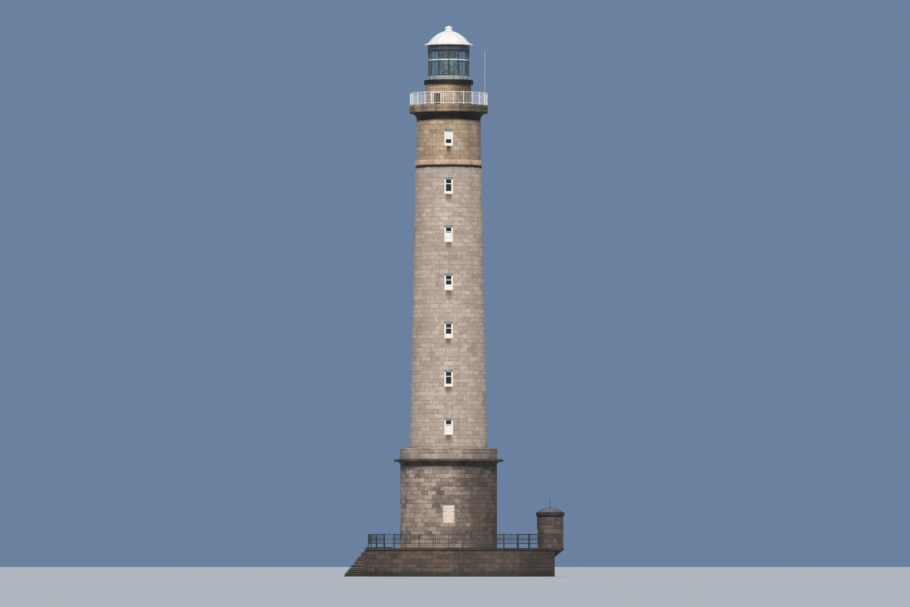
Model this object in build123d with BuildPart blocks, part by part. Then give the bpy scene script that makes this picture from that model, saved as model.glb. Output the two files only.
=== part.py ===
"""A granite sea lighthouse on its wave-washed platform, modelled at half its real size.

Each length is in millimetres and is half the real one. The origin is on the tower's axis at the lowest
ground, +Z is up, and the front, with its line of windows, looks along -Y. The round masonry is laid as
many-sided courses, one flat face to a stone and wider ones round the well inside, and is cut into
segments by upright joints.
"""
import os
from math import asin, atan2, cos, degrees, hypot, pi, radians, sin, sqrt, tan

from build123d import *

os.makedirs("parts", exist_ok=True)

# Fits between pieces
joint = 1.0
fit = 0.3
UP = (Align.CENTER, Align.CENTER, Align.MIN)
OUTWARD = (Align.MIN, Align.CENTER, Align.MIN)
FRONT, BACK, LEFT, RIGHT = 270, 90, 180, 0
wall_sides = 48
well_sides = 24
turret_sides = 24

# Platform: half round on the left, canted corners on the right
deck_height = 1350
paving_height = 110
paving_lip = 45
platform_radius = 3900
platform_right = 4975
platform_cant = 1675

# Steps up the platform's left end, with a straight outer edge
riser_count = 14
step_angle = 2.85
landing_angle = 10
steps_width = 1020

# Deck railing
deck_rail_height = 650
deck_rail_inset = 90
deck_post = 34
deck_bar = 22
deck_bar_levels = (215, 430, deck_rail_height)

# Corbelled turret at the right-hand end
turret_overhang = 435
turret_radius = 615
turret_wall = 150
turret_height = 1460
turret_door_width = 360
turret_door_height = 900
corbel_drop = 400
corbel_tip = 130
cap_lip = 60
cap_edge = 225
cap_rise = 230
cap_bands = 3
finial_radius = 22
finial_height = 380

# Drum
drum_radius = 2275
drum_inner = 1000
drum_height = 3875
drum_opening = 560
drum_sill = 1187
drum_window_height = 900
drum_door_height = 1050
drum_door_recess = 240
cove_bands = 3
drum_cornice_lip = 315
drum_cornice_bed = 200
drum_cornice_edge = 112
parapet_radius = 2294
parapet_wall = 150
parapet_height = 513
parapet_coping = 60
parapet_coping_lip = 22

# Shaft and crown
shaft_foot_radius = 1829
shaft_head_radius = 1550
shaft_inner = 850
shaft_height = 13863
string_lip = 40
string_height = 250
crown_radius = 1506
crown_height = 1900

# Windows of the shaft and crown
window_width = 425
window_height = 775
window_count = 6
first_window_rise = 1513
last_window_drop = 1000
crown_window_rise = 1020
window_recess = 120
sill_height = 50
sill_lip = 30
frame_depth = 50
frame_bar = 42
pane_thickness = 8

# Gallery
gallery_cove = 350
gallery_lip = 6
gallery_edge = 350
floor_thickness = 80
floor_seat = 80
hatch_width = 420
hatch_offset = 520
gallery_rail_height = 590
gallery_rail_inset = 34
gallery_panels = 24
gallery_post = 30
gallery_bar = 20
gallery_bar_levels = (70, gallery_rail_height)

# Watch room under the lantern
watch_radius = 1050
watch_wall = 150
watch_height = 1000
watch_door_facing = 237
watch_door_width = 460
watch_door_height = 560
watch_door_recess = 90

# Doors and shutters: boards with sunk panels
panel_border = 36
panel_sink = 14

# Lantern
lantern_sides = 12
lantern_floor_lip = 112
lantern_floor_height = 200
lantern_apothem = 925
lantern_frame_depth = 50
lantern_wall_depth = 80
lantern_wall_height = 200
glazing_height = 1220
glazing_bar = 26
glazing_transom = 760
frieze_depth = 60
frieze_lip = 30
frieze_height = 240
eave_lip = 175
eave_edge = 30
dome_inset = 20
dome_spring = 125
dome_rise = 555
dome_thickness = 20
dome_eye = 120
dome_bulge = 95
dome_plates = 5
cowl_radius = 187
cowl_height = 250
cowl_sides = 16

# Lens in its eight panels, on a pedestal
pedestal_radius = 240
pedestal_height = 300
lens_sides = 8
lens_radius = 460
lens_wall = 70
lens_height = 1100
lens_prisms = 13
prism_sink = 22

# Whip aerial clamped to a gallery post
aerial_post = 1
aerial_radius = 11
aerial_height = 2600
aerial_foot = 60

# Levels and radii worked out from the sizes above
platform_top = deck_height - paving_height
drum_top = deck_height + drum_height
terrace = drum_top + drum_cornice_bed + drum_cornice_edge
shaft_top = terrace + shaft_height
crown_foot = shaft_top + string_height
crown_top = crown_foot + crown_height
gallery_radius = crown_radius + gallery_cove + gallery_lip
gallery_level = crown_top + gallery_cove + gallery_edge
watch_top = gallery_level + watch_height
lantern_level = watch_top + lantern_floor_height
glazing_foot = lantern_level + lantern_wall_height
glazing_top = glazing_foot + glazing_height
eave_level = glazing_top + frieze_height
dome_foot = eave_level + dome_spring
dome_top = dome_foot + dome_rise
turret_x = platform_right + turret_overhang - turret_radius


def save(piece, name):
    """Label a finished piece and write its STEP file."""
    piece.part.label = name
    export_step(piece.part, f"parts/{name}.step")


def every(step, first=0):
    """Angles all the way round, a step apart."""
    return [first + step * k for k in range(round(360 / step))]


def cut_joints(angles, reach, bottom, top):
    """Cut upright joints from the axis outwards through the part being built."""
    for angle in angles:
        with Locations(Location((0, 0, bottom), (0, 0, angle))):
            Box(reach, joint, top - bottom, align=OUTWARD, mode=Mode.SUBTRACT)


def block(foot, head, bottom, top, sides=wall_sides):
    """A many-sided block about the axis, whose corners lie at the foot and head radii."""
    wide, narrow = max(foot, head), min(foot, head)
    slope = degrees(atan2((wide - narrow) * cos(pi / sides), top - bottom))
    with BuildPart() as piece:
        with BuildSketch(Plane.XY.offset(bottom)):
            RegularPolygon(wide, sides)
        extrude(amount=top - bottom, taper=slope)
        if foot < head:
            mirror(about=Plane.XY.offset((bottom + top) / 2), mode=Mode.REPLACE)
    return piece.part


def stack(outline, sides=wall_sides):
    """Blocks one on another, whose outer face climbs through the outline's (radius, level) points."""
    with BuildPart() as pile:
        for (foot, low), (head, high) in zip(outline, outline[1:]):
            if high > low:
                add(block(foot, head, low, high, sides))
    return pile.part


def cove(radius, level, size):
    """Outline of a hollow quarter-round moulding that climbs from a wall to its widest."""
    turns = [radians(90 * k / cove_bands) for k in range(cove_bands + 1)]
    return [(radius + size * (1 - cos(a)), level + size * sin(a)) for a in turns]


def moulded_ring(outline, inner, joints, sides=wall_sides, inner_sides=well_sides):
    """A ring of masonry with a moulded outer face, in segments."""
    bottom, top = outline[0][1], outline[-1][1]
    reach = 1.1 * max(radius for radius, level in outline)
    with BuildPart() as ring:
        add(stack(outline, sides))
        add(block(inner, inner, bottom, top, inner_sides), mode=Mode.SUBTRACT)
        cut_joints(joints, reach, bottom, top)
    return ring


def round_wall(inner, foot, head, bottom, top, pier, faces, joints, holes, sides=wall_sides):
    """A hollow round wall in staves, with a straight-sided pier at each face.

    A hole is a face, a sill level and a head level, and is as wide as its pier.
    """
    reach = 1.1 * foot
    with BuildPart() as wall:
        add(block(foot, head, bottom, top, sides))
        add(block(inner, inner, bottom, top, well_sides), mode=Mode.SUBTRACT)
        for face in faces:
            with Locations(Location((0, 0, bottom), (0, 0, face))):
                with Locations((0, -pier / 2, 0), (0, pier / 2, 0)):
                    Box(reach, joint, top - bottom, align=OUTWARD, mode=Mode.SUBTRACT)
        cut_joints(joints, reach, bottom, top)
        for face, sill, lintel in holes:
            with Locations(Location((0, 0, sill), (0, 0, face))):
                Box(reach, pier + joint, lintel - sill, align=OUTWARD, mode=Mode.SUBTRACT)
    return wall


def save_sides(wall, name, pier):
    """Write a two-faced wall as front and back piers and left and right staves."""
    sides = {
        "front": lambda c: abs(c.X) < pier / 2 and c.Y < 0,
        "back": lambda c: abs(c.X) < pier / 2 and c.Y > 0,
        "left": lambda c: c.X < -pier / 2,
        "right": lambda c: c.X > pier / 2,
    }
    for side, is_there in sides.items():
        with BuildPart() as piece:
            add([solid for solid in wall.part.solids() if is_there(solid.center())])
        save(piece, f"{name}_{side}_wall")


def panelled(width, height, columns, shares):
    """A board that faces +X and stands on its foot, with rows of sunk panels.

    Shares are the rows' heights, from the foot up, as parts of the whole.
    """
    panel_width = (width - panel_border * (columns + 1)) / columns
    with BuildPart() as board:
        Box(frame_depth, width, height, align=UP)
        foot = 0
        for share in shares:
            row = share * height
            places = [
                (frame_depth / 2, (panel_width + panel_border) * (k - (columns - 1) / 2), foot + panel_border)
                for k in range(columns)
            ]
            with Locations(*places):
                Box(
                    2 * panel_sink, panel_width, row - 1.5 * panel_border,
                    align=UP, mode=Mode.SUBTRACT,
                )
            foot += row
    return board.part


def post_reach(post, bar, turn):
    """Half of a square post's width, as a bar meets it that comes in at an angle."""
    slant = (post / 2 + bar / 2 * sin(turn)) / cos(turn)
    return min(slant, post * sqrt(0.5))


def guard_rail(runs, foot, height, post, bar, levels, last_post):
    """Railing panels of a post and its level bars, each bar ending just before the next post.

    A run is a list of post places. Its last post belongs to another run unless last_post is true.
    """
    with BuildPart() as rail:
        for run in runs:
            spans = list(zip(run, run[1:]))
            turns = [atan2(b[1] - a[1], b[0] - a[0]) for a, b in spans]
            bends = [asin(abs(sin(b - a))) for a, b in zip(turns, turns[1:])]
            bends.append(0 if last_post else bends[-1])
            for (a, b), turn, bend in zip(spans, turns, bends):
                length = hypot(b[0] - a[0], b[1] - a[1]) - post_reach(post, bar, bend) - joint
                with Locations(Location((a[0], a[1], foot), (0, 0, degrees(turn)))):
                    Box(post, post, height, align=UP)
                    with Locations(*[(0, 0, level - bar) for level in levels]):
                        Box(length, bar, bar, align=OUTWARD)
            if last_post:
                with Locations(Location((run[-1][0], run[-1][1], foot), (0, 0, degrees(turns[-1])))):
                    Box(post, post, height, align=UP)
    return rail


def spaced(start, end, count):
    """Post places along a straight run, both ends included."""
    shares = [k / count for k in range(count + 1)]
    return [(start[0] + (end[0] - start[0]) * t, start[1] + (end[1] - start[1]) * t) for t in shares]


def around(radius, start, end, count):
    """Post places along an arc about the tower's axis, in degrees, both ends included."""
    angles = [radians(start + (end - start) * k / count) for k in range(count + 1)]
    return [(radius * cos(a), radius * sin(a)) for a in angles]


def platform_outline(grow):
    """The platform's plan, larger by grow all round."""
    half = platform_radius + grow
    right = platform_right + grow
    cant = platform_cant + grow * tan(radians(22.5)) * sqrt(2)
    with BuildSketch() as plan:
        with BuildLine():
            Polyline(
                (0, -half), (right - cant, -half), (right, cant - half),
                (right, half - cant), (right - cant, half), (0, half),
            )
            ThreePointArc((0, half), (-half, 0), (0, -half))
        make_face()
    return plan.sketch


# Platform
with BuildPart() as platform_mass:
    add(platform_outline(0))
    extrude(amount=platform_top)
save(platform_mass, "platform_mass")

with BuildPart() as deck_paving:
    with BuildSketch(Plane.XY.offset(platform_top)):
        add(platform_outline(paving_lip))
        with Locations((turret_x, 0)):
            RegularPolygon(turret_radius + paving_lip, turret_sides)
    extrude(amount=paving_height)
save(deck_paving, "deck_paving")

# Steps, each a block from the ground to its tread, and the landing beside the deck
riser = deck_height / riser_count
steps_radius = platform_radius + steps_width
steps_turn = step_angle * (riser_count - 1)


def steps_corner(angle):
    """Outer corner of the steps at an angle, on one straight edge as far as the landing."""
    half_turn = steps_turn / 2
    aside = min(abs(LEFT - half_turn - angle), half_turn)
    radius = steps_radius * cos(radians(half_turn)) / cos(radians(aside))
    return radius * cos(radians(angle)), radius * sin(radians(angle))


with BuildPart() as landing_steps:
    for k in range(riser_count):
        rise = riser * (k + 1)
        inner = platform_radius + fit + (paving_lip if rise > platform_top else 0)
        start = LEFT - step_angle * k
        spread = landing_angle if k == riser_count - 1 else step_angle
        with BuildSketch():
            with BuildLine():
                inner_arc = CenterArc((0, 0), inner, start, -spread)
                Polyline(
                    inner_arc @ 0, steps_corner(start), steps_corner(start - spread), inner_arc @ 1
                )
            make_face()
        extrude(amount=rise)
    step_joints = [LEFT - step_angle * k for k in range(1, riser_count)]
    cut_joints(step_joints, steps_radius + joint, 0, deck_height)
save(landing_steps, "landing_steps")

# Deck railing, open at the landing and at the turret
rail_line = platform_radius - deck_rail_inset
rail_right = platform_right - deck_rail_inset
rail_cant = platform_cant - deck_rail_inset * tan(radians(22.5)) * sqrt(2)
gap_start = LEFT - step_angle * (riser_count - 1)
gap_end = gap_start - landing_angle
turret_stop = turret_radius + deck_post


def rail_side(side):
    """Posts along one long side, its canted corner and the stretch up to the turret."""
    corner = (rail_right - rail_cant, side * rail_line)
    shoulder = (rail_right, side * (rail_line - rail_cant))
    places = spaced((0, side * rail_line), corner, 5)
    places += spaced(corner, shoulder, 3)[1:]
    places += spaced(shoulder, (rail_right, side * turret_stop), 2)[1:]
    return places


rail_sizes = (deck_height, deck_rail_height, deck_post, deck_bar, deck_bar_levels)
save(guard_rail([rail_side(-1)], *rail_sizes, True), "deck_rail_front")
save(guard_rail([rail_side(1)], *rail_sizes, True), "deck_rail_back")
end_runs = [around(rail_line, gap_start, FRONT, 12), around(rail_line, gap_end, BACK, 4)]
save(guard_rail(end_runs, *rail_sizes, False), "deck_rail_left")

# Turret
turret_top = deck_height + turret_height
turret_joints = [angle for angle in every(45) if angle != LEFT]
turret_ring = round_wall(
    turret_radius - turret_wall, turret_radius, turret_radius, deck_height, turret_top,
    turret_door_width, (LEFT,), turret_joints,
    [(LEFT, deck_height, deck_height + turret_door_height)], turret_sides,
)
with BuildPart() as turret_round:
    with Locations((turret_x, 0, 0)):
        add(turret_ring.part)
save(turret_round, "turret_wall")

with BuildPart() as turret_corbel:
    with Locations((turret_x, 0, 0)):
        add(block(corbel_tip, turret_radius, platform_top - corbel_drop, platform_top, turret_sides))
    with Locations((platform_right + fit, 0, 0)):
        Box(
            2 * turret_radius, 2 * turret_radius, deck_height,
            align=(Align.MAX, Align.CENTER, Align.MIN), mode=Mode.SUBTRACT,
        )
save(turret_corbel, "turret_corbel")

cap_radius = turret_radius + cap_lip
cap_turns = [radians(90 * k / (cap_bands + 0.3)) for k in range(cap_bands + 1)]
cap_outline = [(cap_radius, turret_top)]
cap_outline += [(cap_radius * cos(a), turret_top + cap_edge + cap_rise * sin(a)) for a in cap_turns]
with BuildPart() as turret_cap:
    with Locations((turret_x, 0, 0)):
        add(stack(cap_outline, turret_sides))
save(turret_cap, "turret_cap")

with BuildPart() as turret_finial:
    with Locations((turret_x, 0, 0)):
        add(block(finial_radius, finial_radius, cap_outline[-1][1], cap_outline[-1][1] + finial_height, 8))
save(turret_finial, "turret_finial")

with BuildPart() as turret_door:
    door_place = (turret_x - turret_radius + window_recess, 0, deck_height)
    with Locations(Location(door_place, (0, 0, LEFT))):
        add(panelled(turret_door_width, turret_door_height - fit, 1, (0.5, 0.5)))
save(turret_door, "turret_door")

# Drum
drum_sill_level = deck_height + drum_sill
drum_head_level = drum_sill_level + drum_window_height
side_joints = (LEFT - 26.25, LEFT + 26.25, RIGHT - 26.25, RIGHT + 26.25)
drum_wall = round_wall(
    drum_inner, drum_radius, drum_radius, deck_height, drum_top, drum_opening,
    (FRONT, BACK), side_joints,
    [(FRONT, drum_sill_level, drum_head_level), (BACK, deck_height, deck_height + drum_door_height)],
)
save_sides(drum_wall, "drum", drum_opening)

with BuildPart() as drum_shutters:
    with Locations(Location((0, -(drum_radius - window_recess), drum_sill_level), (0, 0, FRONT))):
        add(panelled(drum_opening, drum_window_height - fit, 2, (0.38, 0.38, 0.24)))
save(drum_shutters, "drum_shutters")

with BuildPart() as drum_door:
    with Locations(Location((0, drum_radius - drum_door_recess, deck_height), (0, 0, BACK))):
        add(panelled(drum_opening, drum_door_height - fit, 2, (0.3, 0.4, 0.3)))
save(drum_door, "drum_door")

drum_cornice_outline = cove(drum_radius, drum_top, drum_cornice_bed)
drum_cornice_outline += [
    (drum_radius + drum_cornice_lip, drum_top + drum_cornice_bed),
    (drum_radius + drum_cornice_lip, terrace),
]
ring_joints = every(45, 22.5)
save(moulded_ring(drum_cornice_outline, shaft_inner, ring_joints), "drum_cornice")

parapet_top = terrace + parapet_height
parapet_outline = [
    (parapet_radius, terrace),
    (parapet_radius, parapet_top - parapet_coping),
    (parapet_radius + parapet_coping_lip, parapet_top - parapet_coping),
    (parapet_radius + parapet_coping_lip, parapet_top),
]
save(moulded_ring(parapet_outline, parapet_radius - parapet_wall, every(22.5)), "drum_parapet")

# Shaft
window_spacing = (shaft_height - first_window_rise - last_window_drop) / (window_count - 1)
window_levels = [terrace + first_window_rise + window_spacing * k for k in range(window_count)]
shaft_holes = [
    (face, level - window_height / 2, level + window_height / 2)
    for face in (FRONT, BACK)
    for level in window_levels
]
shaft_wall = round_wall(
    shaft_inner, shaft_foot_radius, shaft_head_radius, terrace, shaft_top, window_width,
    (FRONT, BACK), side_joints, shaft_holes,
)
save_sides(shaft_wall, "shaft", window_width)

string_radius = shaft_head_radius + string_lip
string_outline = [(string_radius, shaft_top), (string_radius, crown_foot)]
save(moulded_ring(string_outline, shaft_inner, ring_joints), "string_course")

crown_window = crown_foot + crown_window_rise
crown_holes = [
    (face, crown_window - window_height / 2, crown_window + window_height / 2)
    for face in (FRONT, BACK)
]
crown_wall = round_wall(
    shaft_inner, crown_radius, crown_radius, crown_foot, crown_top, window_width,
    (FRONT, BACK), side_joints, crown_holes,
)
save(crown_wall, "crown_wall")

# Window frames, panes and sills of the shaft and crown
taper = (shaft_foot_radius - shaft_head_radius) / shaft_height
window_places = [(level, shaft_foot_radius - taper * (level - terrace)) for level in window_levels]
window_places.append((crown_window, crown_radius))
frame_height = window_height - sill_height - fit
light = (window_width - 2 * frame_bar, frame_height - 2 * frame_bar)
for name, face in (("front", FRONT), ("back", BACK)):
    with BuildPart() as window_frames:
        for level, radius in window_places:
            foot = level - window_height / 2 + sill_height
            with Locations(Location((0, 0, foot), (0, 0, face))):
                with Locations((radius - window_recess - frame_depth, 0, 0)):
                    Box(frame_depth, window_width, frame_height, align=OUTWARD)
                    with Locations((0, 0, frame_bar)):
                        Box(frame_depth, *light, align=OUTWARD, mode=Mode.SUBTRACT)
    save(window_frames, f"window_frames_{name}")

with BuildPart() as window_panes:
    for face in (FRONT, BACK):
        for level, radius in window_places:
            foot = level - window_height / 2 + sill_height + frame_bar + fit
            with Locations(Location((0, 0, foot), (0, 0, face))):
                with Locations((radius - window_recess - frame_depth / 2, 0, 0)):
                    Box(pane_thickness, light[0] - 2 * fit, light[1] - 2 * fit, align=UP)
save(window_panes, "window_panes")

with BuildPart() as window_sills:
    for face in (FRONT, BACK):
        for level, radius in window_places:
            with Locations(Location((0, 0, level - window_height / 2), (0, 0, face))):
                with Locations((radius - window_recess - frame_depth, 0, 0)):
                    Box(
                        window_recess + frame_depth + sill_lip, window_width, sill_height,
                        align=OUTWARD,
                    )
save(window_sills, "window_sills")

# Gallery: the cornice has a rebate that its floor drops into
floor_radius = shaft_inner + floor_seat
gallery_outline = cove(crown_radius, crown_top, gallery_cove)
gallery_outline += [
    (gallery_radius, crown_top + gallery_cove),
    (gallery_radius, gallery_level),
]
with BuildPart() as gallery_cornice:
    add(moulded_ring(gallery_outline, shaft_inner, ring_joints).part)
    add(
        block(floor_radius, floor_radius, gallery_level - floor_thickness, gallery_level),
        mode=Mode.SUBTRACT,
    )
save(gallery_cornice, "gallery_cornice")

with BuildPart() as gallery_floor:
    with BuildSketch(Plane.XY.offset(gallery_level - floor_thickness)):
        RegularPolygon(floor_radius - fit, wall_sides)
        with Locations((hatch_offset, 0)):
            Rectangle(hatch_width, hatch_width, mode=Mode.SUBTRACT)
    extrude(amount=floor_thickness)
save(gallery_floor, "gallery_floor")

gallery_rail_radius = gallery_radius - gallery_rail_inset
panel_angle = 360 / gallery_panels
gallery_posts = around(gallery_rail_radius, panel_angle / 2, panel_angle / 2 + 360, gallery_panels)
gallery_rail = guard_rail(
    [gallery_posts], gallery_level, gallery_rail_height, gallery_post, gallery_bar,
    gallery_bar_levels, False,
)
save(gallery_rail, "gallery_rail")

# Watch room
watch_room_wall = round_wall(
    watch_radius - watch_wall, watch_radius, watch_radius, gallery_level, watch_top,
    watch_door_width, (watch_door_facing,), [watch_door_facing + 60 + 40 * k for k in range(7)],
    [(watch_door_facing, gallery_level, gallery_level + watch_door_height)],
)
save(watch_room_wall, "watch_room_wall")

with BuildPart() as gallery_door:
    with Locations(Location((0, 0, gallery_level), (0, 0, watch_door_facing))):
        with Locations((watch_radius - watch_door_recess, 0, 0)):
            add(panelled(watch_door_width, watch_door_height - fit, 1, (0.45, 0.55)))
save(gallery_door, "gallery_door")

# Lantern
side_angle = 360 / lantern_sides
side_slope = tan(radians(side_angle / 2))


def lantern_ring(inner, outer, bottom, top):
    """A many-sided upright ring, measured across its flats and cut at its corners."""
    with BuildPart() as ring:
        with BuildSketch(Plane.XY.offset(bottom)):
            RegularPolygon(outer, lantern_sides, major_radius=False)
            RegularPolygon(inner, lantern_sides, major_radius=False, mode=Mode.SUBTRACT)
        extrude(amount=top - bottom)
        cut_joints(every(side_angle), 1.2 * outer, bottom, top)
    return ring


with BuildPart() as lantern_floor:
    with BuildSketch(Plane.XY.offset(watch_top)):
        RegularPolygon(watch_radius + lantern_floor_lip, wall_sides)
        with Locations((-hatch_offset, 0)):
            Rectangle(hatch_width, hatch_width, mode=Mode.SUBTRACT)
    extrude(amount=lantern_floor_height)
save(lantern_floor, "lantern_floor")

lantern_wall = lantern_ring(
    lantern_apothem - lantern_wall_depth, lantern_apothem, lantern_level, glazing_foot
)
save(lantern_wall, "lantern_wall")

frame_inner = lantern_apothem - lantern_frame_depth
pane_width = 2 * frame_inner * side_slope - 2 * glazing_bar
lights = (
    (glazing_foot + glazing_bar, glazing_transom - 2 * glazing_bar),
    (glazing_foot + glazing_transom, glazing_height - glazing_transom - glazing_bar),
)
with BuildPart() as lantern_frame:
    add(lantern_ring(frame_inner, lantern_apothem, glazing_foot, glazing_top).part)
    for foot, height in lights:
        for angle in every(side_angle, side_angle / 2):
            with Locations(Location((0, 0, foot), (0, 0, angle))):
                Box(1.2 * lantern_apothem, pane_width, height, align=OUTWARD, mode=Mode.SUBTRACT)
save(lantern_frame, "lantern_frame")

with BuildPart() as lantern_glass:
    for foot, height in lights:
        for angle in every(side_angle, side_angle / 2):
            with Locations(Location((0, 0, foot + fit), (0, 0, angle))):
                with Locations((lantern_apothem - lantern_frame_depth / 2, 0, 0)):
                    Box(pane_thickness, pane_width - 2 * fit, height - 2 * fit, align=UP)
save(lantern_glass, "lantern_glass")

frieze_outer = lantern_apothem + frieze_lip
lantern_frieze = lantern_ring(frieze_outer - frieze_depth, frieze_outer, glazing_top, eave_level)
save(lantern_frieze, "lantern_frieze")

# Roof: one gore a side, of flat plates that follow an arch, mitred at the corners
eave_apothem = lantern_apothem + eave_lip
dome_apothem = lantern_apothem - dome_inset
soffit_apothem = frieze_outer - frieze_depth / 2
with BuildPart() as roof_gore:
    with BuildSketch(Plane.XZ):
        with BuildLine():
            arch = SagittaArc(
                (dome_eye, dome_top), (dome_apothem, dome_foot), dome_bulge, mode=Mode.PRIVATE
            )
            ceiling = SagittaArc(
                (dome_eye, dome_top - dome_thickness),
                (dome_apothem - dome_thickness, dome_foot - dome_thickness / 2),
                dome_bulge,
                mode=Mode.PRIVATE,
            )
            shares = [k / dome_plates for k in range(dome_plates + 1)]
            Polyline(
                *[arch @ share for share in shares],
                (eave_apothem, eave_level + eave_edge),
                (eave_apothem, eave_level),
                (soffit_apothem, eave_level),
                (dome_apothem - dome_thickness, eave_level + eave_edge),
                *[ceiling @ (1 - share) for share in shares],
                close=True,
            )
        make_face()
    extrude(amount=eave_apothem * side_slope, both=True)
    mitre = joint / 2 / cos(radians(side_angle / 2))
    with BuildSketch(Plane.XY.offset(eave_level)):
        with BuildLine():
            Polyline(
                (mitre / side_slope, 0),
                (2 * eave_apothem, 2 * eave_apothem * side_slope - mitre),
                (2 * eave_apothem, mitre - 2 * eave_apothem * side_slope),
                close=True,
            )
        make_face()
    extrude(amount=dome_spring + dome_rise, mode=Mode.INTERSECT)
with BuildPart() as lantern_roof:
    with PolarLocations(0, lantern_sides, start_angle=side_angle / 2):
        add(roof_gore.part)
save(lantern_roof, "lantern_roof")

cowl_outline = [
    (0.75 * cowl_radius, dome_top),
    (cowl_radius, dome_top + 0.28 * cowl_height),
    (cowl_radius, dome_top + 0.6 * cowl_height),
    (0.62 * cowl_radius, dome_top + 0.9 * cowl_height),
    (0.2 * cowl_radius, dome_top + cowl_height),
]
with BuildPart() as vent_cowl:
    add(stack(cowl_outline, cowl_sides))
save(vent_cowl, "vent_cowl")

# Lens: stepped prisms that swell to the middle, in one upright panel a side
with BuildPart() as lens_pedestal:
    with BuildSketch(Plane.XY.offset(lantern_level)):
        RegularPolygon(pedestal_radius, cowl_sides)
    extrude(amount=pedestal_height)
save(lens_pedestal, "lens_pedestal")

lens_foot = lantern_level + pedestal_height
prism_height = lens_height / lens_prisms
lens_outline = []
for k in range(lens_prisms):
    off_middle = (k + 0.5) / lens_prisms * 2 - 1
    swell = lens_radius * sqrt(1 - 0.62 * off_middle**2)
    low, high = lens_foot + prism_height * k, lens_foot + prism_height * (k + 1)
    sunk_foot, sunk_head = (prism_sink, 0) if off_middle < 0 else (0, prism_sink)
    lens_outline += [(swell - sunk_foot, low), (swell - sunk_head, high)]
lens_inner = lens_radius * sqrt(1 - 0.62) - lens_wall
lens = moulded_ring(lens_outline, lens_inner, every(360 / lens_sides), lens_sides, lens_sides)
save(lens, "lens")

# Aerial
with BuildPart() as aerial:
    with Locations(Location((0, 0, gallery_level + aerial_foot), (0, 0, panel_angle * (aerial_post + 0.5)))):
        with Locations((gallery_rail_radius + gallery_post / 2 + aerial_radius + fit, 0, 0)):
            Cylinder(aerial_radius, aerial_height, align=UP)
save(aerial, "aerial")
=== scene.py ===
"""A granite sea lighthouse at half its real size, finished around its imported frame."""
import random
from math import asin, atan2, ceil, copysign, cos, degrees, hypot, pi, radians, sin, sqrt, tan

import bmesh
import bpy
from mathutils import Matrix, Vector


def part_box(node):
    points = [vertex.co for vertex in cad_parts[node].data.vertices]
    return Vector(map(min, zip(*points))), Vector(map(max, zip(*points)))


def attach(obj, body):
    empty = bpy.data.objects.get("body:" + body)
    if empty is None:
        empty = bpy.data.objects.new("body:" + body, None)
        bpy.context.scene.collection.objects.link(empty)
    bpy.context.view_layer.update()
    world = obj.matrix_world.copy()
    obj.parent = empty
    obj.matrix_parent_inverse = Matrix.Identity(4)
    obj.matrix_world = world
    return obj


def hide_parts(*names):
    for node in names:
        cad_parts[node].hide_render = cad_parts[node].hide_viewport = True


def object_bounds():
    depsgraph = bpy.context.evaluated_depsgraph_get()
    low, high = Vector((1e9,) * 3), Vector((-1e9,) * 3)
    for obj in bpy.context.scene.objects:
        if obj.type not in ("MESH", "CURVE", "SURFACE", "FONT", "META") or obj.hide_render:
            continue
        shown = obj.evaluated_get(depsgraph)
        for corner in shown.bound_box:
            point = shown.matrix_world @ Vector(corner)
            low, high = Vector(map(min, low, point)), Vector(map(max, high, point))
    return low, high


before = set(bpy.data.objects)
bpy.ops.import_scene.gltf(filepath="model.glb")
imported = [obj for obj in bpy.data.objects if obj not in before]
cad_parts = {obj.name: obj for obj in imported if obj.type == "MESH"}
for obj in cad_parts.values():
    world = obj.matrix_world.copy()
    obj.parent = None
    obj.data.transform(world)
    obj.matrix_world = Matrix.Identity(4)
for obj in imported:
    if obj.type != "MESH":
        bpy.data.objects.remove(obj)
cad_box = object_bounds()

# Platform walls
# Coursed granite blocks round a filled mass that stands on the rock. Each block has a dressed margin
# and is set in lime mortar with its face a little proud of the joints.
course_height = 0.2
joint_width = 0.010
arris = 0.008
face_lift = 0.010
bed_lift = 0.002
facing_depth = 0.03
columns_per_stone = 4
arc_columns = 96
stretch_columns = (28, 20, 36, 20, 28)
plan_columns = arc_columns + sum(stretch_columns)
close = 0.001
weld = 0.0002


def corners_of(node):
    """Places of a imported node's corners."""
    return [v.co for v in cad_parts[node].data.vertices]


platform_foot, platform_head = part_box("platform_mass")
platform_half, platform_right = platform_head.y, platform_head.x
end_corners = [p.y for p in corners_of("platform_mass") if p.x > platform_right - close]
platform_cant = platform_half - max(end_corners)


def course_levels(stops, height=course_height):
    """Bed joints between fixed stops, evenly spaced at about a course's height."""
    levels = [stops[0]]
    for low, high in zip(stops, stops[1:]):
        count = max(1, round((high - low) / height))
        levels += [low + (high - low) * k / count for k in range(1, count + 1)]
    return levels


def row_of(levels, z):
    """Which course a height falls in."""
    return sum(z > level for level in levels[1:-1])


def outline(bm, points, closed=False):
    """A line of edges through points."""
    verts = [bm.verts.new(point) for point in points]
    ends = verts[1:] + verts[:1] if closed else verts[1:]
    return [bm.edges.new(pair) for pair in zip(verts, ends)]


def platform_line(grow):
    """Points of the platform's plan, grown outwards, with a set number of columns to each stretch."""
    half, right = platform_half + grow, platform_right + grow
    corner = platform_cant + grow * tan(radians(22.5)) * sqrt(2)
    turns = [radians(270 - 180 * k / arc_columns) for k in range(arc_columns)]
    line = [Vector((half * cos(a), half * sin(a))) for a in turns]
    stops = [
        (0, half), (right - corner, half), (right, half - corner),
        (right, corner - half), (right - corner, -half), (0, -half),
    ]
    for a, b, count in zip(stops, stops[1:], stretch_columns):
        line += [Vector(a).lerp(Vector(b), k / count) for k in range(count)]
    return line


def bridge_rows(bm, rows):
    """Bridge upright rows of edges, and number the columns of faces between them."""
    number = bm.faces.layers.int["column"]
    for column, (row, beyond) in enumerate(zip(rows, rows[1:])):
        for face in bmesh.ops.bridge_loops(bm, edges=row + beyond)["faces"]:
            face[number] = column


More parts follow.
